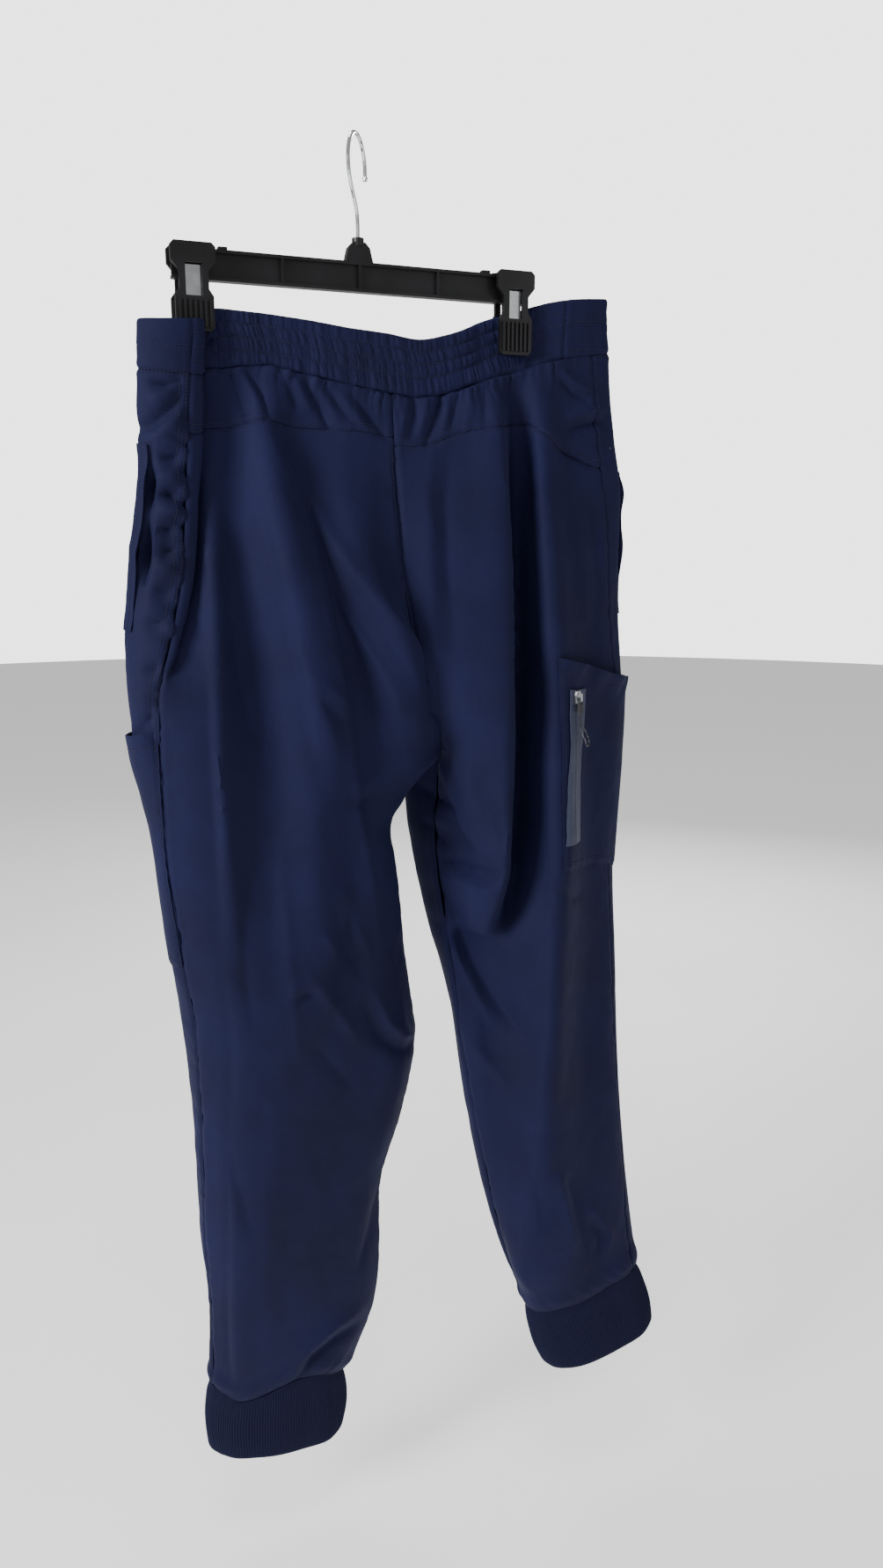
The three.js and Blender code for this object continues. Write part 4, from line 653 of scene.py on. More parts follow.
def new_object(name, vertices, faces, smooth=True):
    """A mesh object in metres from points in millimetres, rounded except at sharp edges."""
    mesh = bpy.data.meshes.new(name)
    mesh.from_pydata(np.asarray(vertices) * MM, [], faces)
    mesh.update()
    if smooth:
        mesh.shade_smooth()
        mesh.set_sharp_from_angle(angle=math.radians(SHARP_ANGLE))
    piece = bpy.data.objects.new(name, mesh)
    bpy.context.scene.collection.objects.link(piece)
    return piece


def set_uv(piece, uv):
    """One UV value in metres for each vertex, copied to its corners."""
    mesh = piece.data
    layer = mesh.uv_layers.new(name="cloth")
    corner = np.empty(len(mesh.loops), np.int32)
    mesh.loops.foreach_get("vertex_index", corner)
    layer.data.foreach_set("uv", (np.asarray(uv) * MM)[corner].astype(np.float32).ravel())


def grid_quads(rows, columns, base=0, closed=False):
    """Quads of a grid whose faces look along down crossed with across."""
    r, c = np.meshgrid(np.arange(rows - 1), np.arange(columns if closed else columns - 1), indexing="ij")
    n = (c + 1) % columns
    quads = np.stack([r * columns + c, (r + 1) * columns + c, (r + 1) * columns + n, r * columns + n], -1)
    return quads.reshape(-1, 4) + base


def rim_quads(rows, columns, inner, closed):
    """Quads that join the outer sheet's border to the inner one's."""
    top, foot = np.arange(columns), (rows - 1) * columns + np.arange(columns)
    if closed:
        loops = [np.append(top, top[0])[::-1], np.append(foot, foot[0])]
    else:
        side_a, side_b = np.arange(rows) * columns, np.arange(rows) * columns + columns - 1
        loops = [top[::-1], foot, side_a, side_b[::-1]]
    quads = [np.stack([run[:-1], run[:-1] + inner, run[1:] + inner, run[1:]], -1) for run in loops]
    return np.concatenate(quads)


def shell(name, piece, wall, material, closed=False):
    """A closed thin shell: the grid moved out and in by half the wall, and joined round its border."""
    grid, normals = piece.grid, piece.normals
    rows, columns = grid.shape[:2]
    half = 0.5 * np.asarray(wall)
    half = half[..., None] if np.ndim(half) else half
    outer, inner = grid + normals * half, grid - normals * half
    vertices = np.concatenate([outer.reshape(-1, 3), inner.reshape(-1, 3)])
    count = rows * columns
    front = grid_quads(rows, columns, closed=closed)
    back = grid_quads(rows, columns, count, closed)[:, ::-1]
    rim = rim_quads(rows, columns, count, closed)
    faces = np.concatenate([front, back, rim])
    if piece.sign < 0:
        faces = faces[:, ::-1]
    made = new_object(name, vertices, faces.tolist())
    uv = np.stack([piece.s, -piece.t], axis=-1).reshape(-1, 2)
    set_uv(made, np.concatenate([uv, uv]))
    made.data.materials.append(material)
    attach(made, GARMENT)
    return made


# ---------------------------------------------------------------- stitches
THREAD_SIDES = 6
# Rings of a stitch: (share of its length, share of the thread's radius, height in radii).
THREAD_RINGS = [(-0.5, 0.15, -0.5), (-0.32, 0.9, 0.2), (0.0, 1.0, 0.45), (0.32, 0.9, 0.2), (0.5, 0.15, -0.5)]


def tube_faces(rings, sides):
    """Quads of a tube of rings, and a face that closes each of its two ends."""
    faces = [face[::-1] for face in grid_quads(rings, sides, closed=True).tolist()]
    return faces + [list(range(sides)), list(range(sides * (rings - 1), sides * rings))[::-1]]


def thread_template(length, radius):
    """A stitch along X, swollen in the middle and sunk at both ends."""
    turns = np.linspace(0, 2 * np.pi, THREAD_SIDES, endpoint=False)
    rings = []
    for x, r, z in THREAD_RINGS:
        across, up = r * radius * np.cos(turns), r * radius * np.sin(turns) + z * radius
        rings.append(np.stack([np.full(THREAD_SIDES, x * length), across, up], -1))
    return np.concatenate(rings), tube_faces(len(THREAD_RINGS), THREAD_SIDES)


def stitch_run(points, normals, pitch):
    """Places, directions and normals every pitch along a run of points on the cloth."""
    length = run_lengths(points[None], 1)[0]
    cuts = np.arange(0.5 * pitch, length[-1], pitch)
    at, up = read_along(cuts, length, points), read_along(cuts, length, normals)
    ahead = read_along(cuts + 0.4 * pitch, length, points) - at
    behind = at - read_along(cuts - 0.4 * pitch, length, points)
    return at, ahead + behind, up


def sew(name, runs, material, pitch=3.0, radius=0.32):
    """Stitches along several runs, joined in one piece."""
    template, faces = thread_template(0.86 * pitch, radius)
    places = [np.concatenate(part) for part in zip(*(stitch_run(p, n, pitch) for p, n in runs))]
    at, along, up = places
    x = along / np.maximum(np.linalg.norm(along, axis=-1, keepdims=True), 1e-9)
    up = up - x * (up * x).sum(-1, keepdims=True)
    z = up / np.maximum(np.linalg.norm(up, axis=-1, keepdims=True), 1e-9)
    y = np.cross(z, x)
    turned = sum(template[None, :, k:k + 1] * axis[:, None] for k, axis in enumerate((x, y, z)))
    vertices = (at[:, None] + turned).reshape(-1, 3)
    count = len(template)
    all_faces = [[i + k * count for i in face] for k in range(len(at)) for face in faces]
    made = new_object(name, vertices, all_faces)
    made.data.materials.append(material)
    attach(made, GARMENT)
    return made


def beside(piece, wall, edge, distance, part):
    """Run of surface points at a distance from an edge, between two shares of its length, and the
    normals there."""
    d, normals = piece.edge(edge), piece.normals
    surface = piece.grid + normals * (0.5 * wall + 0.05)
    if edge in ("top", "foot"):
        d, surface, normals = d.T, surface.transpose(1, 0, 2), normals.transpose(1, 0, 2)
    if edge in ("foot", "end"):
        d, surface, normals = d[:, ::-1], surface[:, ::-1], normals[:, ::-1]
    i = np.clip((d < distance).sum(1), 1, d.shape[1] - 1)
    k = np.arange(len(d))
    low, high = d[k, i - 1], d[k, i]
    t = np.clip((distance - low) / np.maximum(high - low, 1e-9), 0, 1)[:, None]
    points = surface[k, i - 1] * (1 - t) + surface[k, i] * t
    up = normals[k, i - 1] * (1 - t) + normals[k, i] * t
    first, last = (int(round(share * (len(points) - 1))) for share in part)
    return points[first:last + 1], up[first:last + 1]


# ---------------------------------------------------------------- finishes
def linear(color):
    """Linear light values of an 8-bit display colour given as 0xRRGGBB."""
    parts = [((color >> shift) & 255) / 255 for shift in (16, 8, 0)]
    return [c / 12.92 if c <= 0.04045 else ((c + 0.055) / 1.055) ** 2.4 for c in parts] + [1.0]


class Finish:
    """A material: one shader with flat values, and the pattern nodes that vary its colour and relief."""

    def __init__(self, name, color, roughness, **flat):
        """flat: the shader's other values, by their socket's name."""
        self.material = bpy.data.materials.new(name)
        self.material.use_nodes = True
        self.tree = self.material.node_tree
        self.shader = next(n for n in self.tree.nodes if n.type == "BSDF_PRINCIPLED")
        self.shader.inputs["Base Color"].default_value = linear(color)
        self.shader.inputs["Roughness"].default_value = roughness
        for socket, value in flat.items():
            self.shader.inputs[socket.replace("_", " ")].default_value = value
        self.object = self.add("TexCoord").outputs["Object"]

    def add(self, kind, settings=(), **inputs):
        """A node with its settings and inputs, each input by its name or by _ and its number."""
        made = self.tree.nodes.new("ShaderNode" + kind)
        for key, value in dict(settings).items():
            setattr(made, key, value)
        for name, value in inputs.items():
            self.join(value, made.inputs[int(name[1:]) if name[1:].isdigit() else name.replace("_", " ")])
        return made

    def join(self, value, socket):
        """Links an output to a socket, or writes a flat value into it."""
        if isinstance(value, bpy.types.NodeSocket):
            self.tree.links.new(value, socket)
        else:
            socket.default_value = value

    def uv(self):
        """Places on the cloth in metres."""
        return self.add("UVMap", {"uv_map": "cloth"}).outputs["UV"]

    def noise(self, place, scale, detail=2.0):
        """Uneven value with about that many cells in a metre."""
        return self.add("TexNoise", Vector=place, Scale=scale, Detail=detail).outputs["Fac"]

    def math(self, operation, a, b):
        """Result of a sum or a comparison of two values."""
        return self.add("Math", {"operation": operation}, _0=a, _1=b).outputs[0]

    def spread(self, value, low, high):
        """The value from 0 to 1 stretched to run from low to high."""
        return self.add("MapRange", Value=value, To_Min=low, To_Max=high).outputs["Result"]

    def tint(self, value, dark, light, low=0.3, high=0.7):
        """Colour that runs from dark to light as the value runs from low to high."""
        ramp = self.add("ValToRGB", Fac=value)
        for end, position, color in zip(ramp.color_ramp.elements, (low, high), (dark, light)):
            end.position, end.color = position, linear(color)
        return ramp.outputs["Color"]

    def mix(self, share, a, b):
        """Colour between a and b by their share."""
        return self.add("Mix", {"data_type": "RGBA"}, _0=share, _6=a, _7=b).outputs[2]

    def relief(self, *heights):
        """Bumps in a chain: each is (height, strength, depth in metres)."""
        normal = None
        for height, strength, depth in heights:
            bump = self.add("Bump", Height=height, Strength=strength, Distance=depth)
            if normal is not None:
                self.join(normal, bump.inputs["Normal"])
            normal = bump.outputs["Normal"]
        self.join(normal, self.shader.inputs["Normal"])

    def bands(self, place, pitch, turn=0.0, distortion=0.0):
        """Sine bands a pitch apart in metres, turned by an angle in the cloth."""
        turned = self.add("Mapping", Vector=place, Rotation=(0, 0, turn)).outputs["Vector"]
        return self.add(
            "TexWave", Vector=turned, Scale=0.314 / pitch, Distortion=distortion, Detail=1.0
        ).outputs["Fac"]


def lint(finish, color, base, spacing=0.03, width=0.0005):
    """A few pale fibres' ends: small dots in a tenth of the cells of a scattered pattern."""
    cells = finish.add("TexVoronoi", Vector=finish.object, Scale=1 / spacing)
    near = finish.math("LESS_THAN", cells.outputs["Distance"], width / spacing)
    chosen = finish.add("SeparateColor", Color=cells.outputs["Color"]).outputs[0]
    picked = finish.math("MULTIPLY", near, finish.math("GREATER_THAN", chosen, 0.9))
    return finish.mix(picked, base, linear(color))


def twill():
    """Navy twill: diagonal ribs of the weave, uneven yarn, slow shade changes and a satin sheen."""
    f = Finish("twill", NAVY, 0.72, Sheen_Weight=0.05, Sheen_Roughness=0.4, Specular_IOR_Level=0.1)
    f.shader.inputs["Sheen Tint"].default_value = linear(0x8C9AD8)
    uv = f.uv()
    slow, yarn = f.noise(f.object, 14, 4), f.noise(uv, 900, 3)
    shade = f.math("ADD", f.math("MULTIPLY", slow, 0.7), f.math("MULTIPLY", yarn, 0.3))
    f.join(lint(f, 0x9098A8, f.tint(shade, NAVY_DARK, NAVY_LIGHT)), f.shader.inputs["Base Color"])
    f.join(f.spread(slow, 0.66, 0.8), f.shader.inputs["Roughness"])
    weave = f.bands(uv, 0.0009, math.radians(63), 1.2)
    f.relief((weave, 0.35, 0.00012), (yarn, 0.3, 0.0002), (f.noise(f.object, 160, 3), 0.25, 0.0006),
             (f.noise(f.object, 45, 3), 0.4, 0.0025))
    return f.material


def rib_knit():
    """Dark navy knit: the loops climb each rib, over uneven matte yarn."""
    f = Finish("rib_knit", KNIT_NAVY, 0.85, Sheen_Weight=0.06, Sheen_Roughness=0.5, Specular_IOR_Level=0.1)
    f.shader.inputs["Sheen Tint"].default_value = linear(0x7080C0)
    uv = f.uv()
    yarn = f.noise(uv, 1100, 3)
    f.join(lint(f, 0x808898, f.tint(yarn, 0x0F1024, 0x191B37)), f.shader.inputs["Base Color"])
    loops = f.bands(uv, 0.0013, math.radians(90), 0.6)
    f.relief((loops, 0.4, 0.00025), (yarn, 0.5, 0.0003))
    return f.material


def thread():
    """Navy sewing thread, a shade lighter than the cloth, with its twist."""
    f = Finish("thread", 0x20264A, 0.6, Sheen_Weight=0.05, Specular_IOR_Level=0.2)
    f.join(f.tint(f.noise(f.object, 700, 2), 0x12142B, 0x1A1C3A), f.shader.inputs["Base Color"])
    f.relief((f.noise(f.object, 2500, 1), 0.4, 0.0001))
    return f.material


def zip_coating():
    """Grey-blue tape with a smooth rubbery coating and faint cross threads under it."""
    f = Finish("zip_coating", 0x353A50, 0.5, Sheen_Weight=0.03, Specular_IOR_Level=0.2)
    uv = f.uv()
    fine = f.noise(uv, 500, 3)
    f.join(f.tint(fine, 0x30354B, 0x3C4158), f.shader.inputs["Base Color"])
    f.relief((f.bands(uv, 0.0011, math.radians(90), 0.4), 0.25, 0.00012), (fine, 0.3, 0.0001))
    return f.material


def coil_finish():
    """Dark nylon of the zip's coil."""
    f = Finish("zip_coil", 0x23263A, 0.4, Specular_IOR_Level=0.5)
    f.relief((f.noise(f.object, 1500, 2), 0.2, 0.0001))
    return f.material


def hanger_plastic():
    """Black moulded plastic: fine grain, flow marks along the bar and a little dust."""
    f = Finish("hanger_plastic", 0x0E0E10, 0.36, Specular_IOR_Level=0.35)
    grain, flow = f.noise(f.object, 1600, 2), f.noise(f.object, 22, 5)
    dusty = f.tint(flow, 0x0C0C0E, 0x17171A, 0.35, 0.75)
    f.join(lint(f, 0x77787C, dusty, 0.012, 0.00025), f.shader.inputs["Base Color"])
    f.join(f.spread(flow, 0.32, 0.52), f.shader.inputs["Roughness"])
    f.relief((grain, 0.15, 0.0001), (flow, 0.1, 0.0006))
    return f.material


def plated(name, color, low, high):
    """Plated metal with faint drawing marks and handling haze."""
    f = Finish(name, color, 0.5 * (low + high), Metallic=1.0)
    haze = f.noise(f.object, 120, 4)
    f.join(f.spread(haze, low, high), f.shader.inputs["Roughness"])
    f.join(f.tint(haze, color - 0x141414, color), f.shader.inputs["Base Color"])
    f.relief((f.noise(f.object, 1800, 2), 0.08, 0.0001))
    return f.material


def pull_paint():
    """Dark grey paint over cast metal, a little worn."""
    f = Finish("pull_black", 0x2A2A2E, 0.4, Metallic=0.4)
    wear = f.noise(f.object, 600, 4)
    f.join(f.tint(wear, 0x232327, 0x4A4A50, 0.5, 0.85), f.shader.inputs["Base Color"])
    f.join(f.spread(wear, 0.3, 0.5), f.shader.inputs["Roughness"])
    f.relief((wear, 0.15, 0.0001))
    return f.material


def speckled_cord():
    """Black cord with pale flecks in its braid."""
    f = Finish("cord", 0x141418, 0.8, Sheen_Weight=0.1)
    flecks = f.noise(f.uv(), 900, 1)
    f.join(f.tint(flecks, 0x0C0C0E, 0xA8AAB2, 0.56, 0.62), f.shader.inputs["Base Color"])
    f.relief((flecks, 0.5, 0.0002))
    return f.material


def floor_paint_and_glow():
    """Pale matte floor with a barely visible mottle, and a painted glow: a white emission that brightens it
    and sends light up onto the garment.
    """
    # painted glow: the floor's emission stands in for light falling on it
    f = Finish("floor_paint_and_glow", 0xF2F2F1, 0.8, Emission_Color=(1, 1, 1, 1), Emission_Strength=0.6)
    f.join(f.tint(f.noise(f.object, 3, 3), 0xEFEFEE, 0xF5F5F4), f.shader.inputs["Base Color"])
    return f.material


NAVY, NAVY_DARK, NAVY_LIGHT, KNIT_NAVY = 0x171937, 0x141630, 0x1B1D3F, 0x14152C
TWILL, KNIT, THREAD, COATING, COIL = twill(), rib_knit(), thread(), zip_coating(), coil_finish()
PLASTIC, CORD, PULL_PAINT = hanger_plastic(), speckled_cord(), pull_paint()
CHROME, STEEL = plated("hook_chrome", 0xE2E4E8, 0.08, 0.2), plated("steel", 0xD0D2D4, 0.2, 0.34)


# ---------------------------------------------------------------- the cloth's form
OUTWARD = {"left": -1, "right": 1}


def between(place, start, end, blur=0.6):
    """1 between two places and 0 outside, with soft ends."""
    return smooth_step((place - start) / blur + 0.5) * (1 - smooth_step((place - end) / blur + 0.5))


# Stretches of each half where a side's creases show: (side, first place, last place, seed).
STRETCHES = {
    "left": (("back", -1, 5.2, 11), ("flap", 11.3, 13.4, 12), ("front", 14.2, 21, 13)),
    "right": (("back", -1, 8.6, 21), ("front", 9.6, 17, 23)),
}
SLIDER_AT = (192, -459)
SLIDER_STILL, SLIDER_FADE = 18, 40        # distances in which the cloth stays put, then folds again
UNEVEN_FROM, UNEVEN_FADE = 165, 60        # depth where the cloth's own unevenness begins, and grows


def fold_lift(half, points, places):
    """How far the cloth moves out at each point: the listed creases of the side that it lies on, with a
    faint unevenness. The cloth round the zip's slider stays put."""
    x, z = points[..., 0] + 0.6 * points[..., 1], points[..., 2]
    below = smooth_step((-z - UNEVEN_FROM) / UNEVEN_FADE)
    calm = np.hypot(points[..., 0] - SLIDER_AT[0], z - SLIDER_AT[1])
    calm = smooth_step((calm - SLIDER_STILL) / SLIDER_FADE) if half == "right" else 1.0
    total = np.zeros_like(x)
    for side, start, end, seed in STRETCHES[half]:
        uneven = 1.1 * rumple(x, 0.45 * z, 36, seed) + 0.4 * rumple(x, 0.8 * z, 13, seed + 1)
        total += between(places, start, end) * (crease_height(side, points) + below * uneven)
    return total * calm


def seam_setback(half, place, rows):
    """Distance in millimetres of a panel's side edge from its seam line: a little more at the seams
    that turn sharply at the crotch, and along the inseams."""
    last = LEFT_LAST if half == "left" else RIGHT_LAST
    if place not in (0, last):
        return np.full(len(rows), 0.15)
    away = np.where(rows > 4, 0.4, 0.15)
    return 1.9 + (away - 1.9) * np.minimum(np.abs(rows - 4) / 0.25, 1)


def panel(half, first, last, rows, step=3.0):
    """A cut panel of a half between two lines, with its folds."""
    back = np.stack([seam_setback(half, first, rows), seam_setback(half, last, rows)], -1)
    places = across_places(lambda p, r: cloth(half, p, r), first, last, rows, step, setbacks=back)
    piece = Piece(cloth(half, places, rows), OUTWARD[half])
    piece.lift(fold_lift(half, piece.grid, places))
    piece.places = places
    return piece


def gather(piece, edge, height, reach, cell, seed, mask=1.0):
    """Gathers that hang from an edge: puffs across it that widen and die out away from it."""
    d = piece.edge(edge)
    along = piece.s if edge in ("top", "foot") else piece.t
    wide = 0.6 * puffs(along + 1.5 * wander(d, 9, seed), cell, seed + 1) \
        + 0.4 * puffs(along, 2.1 * cell, seed + 2)
    piece.lift(mask * height * (wide - 0.35) * np.exp(-((d / reach) ** 1.3)) * smooth_step(d / 3 + 0.15))


def pucker(piece, edge, height, reach, cell, seed, start=0.0, stop=1e9):
    """Short puckers across a seam, between two distances along it."""
    d = piece.edge(edge)
    along = piece.t if edge in ("start", "end") else piece.s
    window = smooth_step((along - start) / 30) * (1 - smooth_step((along - stop) / 30))
    slant = along + 0.5 * d
    wave = wander(slant, cell, seed) + 0.5 * wander(slant, 0.5 * cell, seed + 1)
    piece.lift(window * height * wave * np.exp(-((d / reach) ** 1.5)))


def puff_over_cuff(piece, height, seed):
    """Just above the cuff seam the cloth swells, pleated by the seam, and turns in sharply to it."""
    d = piece.from_foot
    swell = np.exp(-(((d - 11) / 9) ** 2)) - 0.3 * np.exp(-((d / 3) ** 2))
    pleats = 0.55 + 0.75 * puffs(piece.s + 0.25 * d, 11, seed)
    piece.lift(height * swell * pleats)


PIECES = {}


def keep(name, piece, wall, material, slot, *nodes, closed=False):
    """Makes the piece's shell, hides the CAD nodes that it stands for, and notes it for its stitches."""
    made = shell(name, piece, wall, material, closed)
    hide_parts(*nodes)
    PIECES[name] = (piece, made)


# ---------------------------------------------------------------- legs and yokes
SLASH_PLACE = 12.38                       # where the left slash pocket opens
FRONT_GATHER_FROM = {"left": 13, "right": 9}
BACK_GATHER_TO = {"left": 6, "right": 7.2}


def gape_lobes(z):
    """The two lobes in which a slash pocket stands open, a small one over a larger one."""
    return np.exp(-(((z + 276) / 13) ** 2)) + 1.1 * np.exp(-(((z + 326) / 20) ** 2))


def slash_recess(piece, place):
    """Sinks the cloth beside a slash pocket's strip where the pocket stands open, with a full edge
    behind the dip."""
    z = piece.grid[..., 2]
    row_of = np.abs(piece.places - place).argmin(1)
    from_it = piece.s - piece.s[np.arange(len(row_of)), row_of][:, None]
    dip = np.exp(-((from_it / 4.2) ** 4)) * gape_lobes(z)
    slit = np.exp(-((from_it / 1.2) ** 2)) * smooth_step((-z - 236) / 10) * smooth_step((z + 380) / 10)
    rim = np.exp(-(((from_it + 8.5) / 4) ** 2)) * gape_lobes(z)
    piece.lift(1.2 * rim - 7.5 * dip - 1.5 * slit)


def leg(name, half, first, last, top_row, node):
    """One of the four panels that run from the yoke or the waistband to the cuff. Each has puckers
    along its own side seam, and the left front one sinks beside its slash pocket."""
    rows = down_rows(HALVES[half][0], top_row, ABOVE_CUFF_SEAM, 2.9 if name == "front_left" else 3.6)
    piece = panel(half, first, last, rows)
    seed = {"back_left": 31, "back_right": 41, "front_left": 51, "front_right": 61}[name]
    seam_roll(piece, "start", "end", "top", seed=seed)
    if name == "front_left":
        pucker(piece, "start", height=2.6, reach=13, cell=9, seed=seed + 3, start=20, stop=330)
        slash_recess(piece, SLASH_PLACE)
        pucker(piece, "start", height=0.7, reach=12, cell=16, seed=seed + 4, start=330, stop=1200)
    elif name == "back_left":
        pucker(piece, "end", height=1.2, reach=8, cell=15, seed=54, start=0, stop=270)
        pucker(piece, "end", height=0.6, reach=9, cell=16, seed=55, start=270, stop=1200)
    else:
        pucker(piece, "end" if name == "back_right" else "start", height=0.5, reach=8, cell=15, seed=64)
    if top_row == BELOW_BAND_SEAM:
        in_front = between(piece.places, FRONT_GATHER_FROM[half], 30)
        gather(piece, "top", height=1.4, reach=22, cell=10, seed=seed + 5, mask=in_front)
    puff_over_cuff(piece, 2.2, seed + 7)
    stitch_groove(piece, "start", PANEL_STITCH, depth=0.25)
    stitch_groove(piece, "top", FLAT_STITCH, depth=0.25)
    keep(f"leg_{name}", piece, TWILL_WALL, TWILL, "twill", node)


leg("back_left", "left", 0, LEFT_SIDE, BELOW_YOKE_SEAM, "back_leg_left")
leg("back_right", "right", 0, RIGHT_SIDE, BELOW_YOKE_SEAM, "back_leg_right")
leg("front_left", "left", LEFT_SIDE, LEFT_LAST, BELOW_BAND_SEAM, "front_leg_left")
leg("front_right", "right", RIGHT_SIDE, RIGHT_LAST, BELOW_BAND_SEAM, "front_leg_right")


def yoke(half, last, seed):
    """The piece between the waistband and the back panel, tucked by the band's elastic."""
    rows = down_rows(HALVES[half][0], BELOW_BAND_SEAM, ABOVE_YOKE_SEAM, 2.0, EDGE[:8])
    piece = panel(half, 0, last, rows, 1.7)
    in_back = between(piece.places, -1, BACK_GATHER_TO[half])
    gather(piece, "top", height=5.2, reach=15, cell=6, seed=seed, mask=in_back)
    seam_roll(piece, "start", "end", "top", "foot", seed=seed + 9)
    stitch_groove(piece, "foot", FLAT_STITCH, YOKE_SECOND_STITCH, depth=0.3)
    keep(f"yoke_{half}", piece, TWILL_WALL, TWILL, "twill", f"back_yoke_{half}")


yoke("left", LEFT_SIDE, 71)
yoke("right", RIGHT_SIDE, 81)


# ---------------------------------------------------------------- waistband
ELASTIC_ENDS = (-5.4, 6.35)               # places on the back band between which it is gathered


def elastic_puffs(s, t, depth, seed):
    """Cloth gathered over elastic: each channel between two stitch rows swells, and short puffs with
    sharp valleys run down through all the channels, wandering a little from one to the next."""
    edges = np.array([0, *BAND_STITCH_ROWS, depth])
    channel = np.clip(np.searchsorted(edges, t, side="right") - 1, 0, 3)
    low, high = edges[channel], edges[channel + 1]
    swell = np.sin(np.pi * np.clip((t - low) / (high - low), 0, 1)) ** 0.55
    drift = s + 1.2 * wander(t, 9, seed) + 0.9 * wander(s, 23, seed + 1) * (channel - 1.5)
    own = 0.7 * puffs(drift, 2.5, seed + 2) + 0.5 * puffs(drift + 3.1 * channel, 3.4, seed + 3)
    broad = 0.5 * rumple(s, 4 * channel, 13, seed + 4)
    return swell * (0.3 + 1.9 * own + broad) - 0.5


def waistband(side, first, last, step, seed):
    """The band's back or front part between two side lines, gathered where its elastic runs."""
    dense = np.linspace(WAIST_EDGE, ABOVE_BAND_SEAM, 200)
    z = ring(side, np.array([[0.0]]), dense)[:, 0, 2]
    depth = z[0] - z[-1]
    fine = [0, 0.4, 1, 1.8, 2.8]
    rows = np.interp(spaced(depth, 1.5, fine), z[0] - z, dense)
    surface = lambda p, r: ring(side, p, r)
    places = across_places(surface, first + 0.004, last - 0.004, rows, step)
    grid = ring(side, places, rows)
    piece = Piece(grid, 1 if side == "back" else -1)
    t = piece.t
    gathered = between(places, *ELASTIC_ENDS, 0.25) if side == "back" else 0.0
    piece.lift(gathered * elastic_puffs(piece.s, t, depth, seed))
    piece.lift((1 - gathered) * 0.5 * rumple(piece.s, t, 17, seed + 5))
    seam_roll(piece, "start", "end", depth=0.4, seed=seed + 7)
    seam_roll(piece, "foot", depth=1.3, seed=seed + 8)
    piece.lift(-0.9 * np.exp(-(t / 1.2) ** 2))
    if side == "front":
        stitch_groove(piece, "top", *FRONT_STITCH_ROWS, depth=0.4)
    keep(f"band_{side}", piece, BAND_WALL, TWILL, "twill", f"waistband_{side}")


waistband("back", -LEFT_SIDE, RIGHT_PANEL, 0.95, 91)
waistband("front", -(LEFT_LAST - LEFT_SIDE), RIGHT_LAST - RIGHT_PANEL, 2.4, 101)


# ---------------------------------------------------------------- cuffs
# Each cuff: the last place of its half and the place of the leg's outer line, the heights of the
# tube's lower edge on the leg's inner and outer side, and how far that edge hangs aside in X and Y.
CUFFS = {
    "left": dict(last=LEFT_LAST, outer=LEFT_NAMES.index("outer_left"),
                 bottom=(-1203, -1186), slide=(-3, 0)),
    "right": dict(last=RIGHT_LAST, outer=RIGHT_NAMES.index("outer_right"),
                  bottom=(-1145, -1124), slide=(17, -7)),
}
RIB_PITCH = 2.5
COLUMNS_PER_RIB = 6
CUFF_CORNER_RISE = 3


def cuff(half, seed):
    """A tube that hangs from the leg's lower edge: ribs in and out round it, drawn in at the seam,
    fuller below it, and rounded at the two ends of its flat."""
    size = CUFFS[half]
    at_seam = np.array([ABOVE_CUFF_SEAM])
    dense = cloth(half, np.linspace(0, size["last"], 900)[None], at_seam)[0]
    length = run_lengths(dense[None], 1)[0]
    ribs = int(length[-1] / RIB_PITCH)
    columns = COLUMNS_PER_RIB * ribs
    cuts = np.arange(columns) / columns * length[-1]
    top = read_along(cuts, length, dense)
    inner, outer = cloth(half, np.array([[0.0, size["outer"]]]), at_seam)[0]
    share = (top[:, 0] - inner[0]) / (outer[0] - inner[0])
    corner = np.abs(2 * share - 1) ** 6
    inner_foot, outer_foot = size["bottom"]
    bottom = inner_foot + (outer_foot - inner_foot) * share + CUFF_CORNER_RISE * corner
    v = spaced(1, 0.055, [0, 0.012, 0.03, 0.055])[:, None]
    middle = 0.5 * (inner[0] + outer[0])
    x = middle + (top[:, 0] - middle) * (1 + 0.06 * np.sin(np.pi * v)) + size["slide"][0] * v
    y = top[:, 1] + size["slide"][1] * v
    z = (top[:, 2] - 0.8) * (1 - v) + bottom * v
    grid = np.stack([x, y, z], -1)
    looped = np.concatenate([grid[:, -1:], grid, grid[:, :1]], axis=1)
    piece = Piece(grid, OUTWARD[half])
    piece.normals = outward_normals(looped, OUTWARD[half])[:, 1:-1]
    round_rib = np.cos(2 * np.pi * ribs * cuts / length[-1])[None]
    fold = np.sin(np.pi * v) ** 0.5
    uneven = 0.5 * rumple(cuts[None], 70 * v, 24, seed)
    lift = 0.42 * round_rib * (0.35 + 0.65 * fold) + uneven - 1.2 * np.exp(-((v / 0.08) ** 2))
    lift -= 0.8 * np.exp(-(((1 - v) / 0.02) ** 2))
    piece.grid = piece.grid + piece.normals * lift[..., None]
    keep(f"rib_cuff_{half}", piece, CUFF_WALL, KNIT, "rib_knit", f"cuff_{half}", closed=True)


cuff("left", 111)
cuff("right", 121)


# ---------------------------------------------------------------- pockets
def hip_row(z):
    """Row of a height between the hip and the crotch."""
    return 3 + (HIP_Z - z) / (HIP_Z - CROTCH_Z)


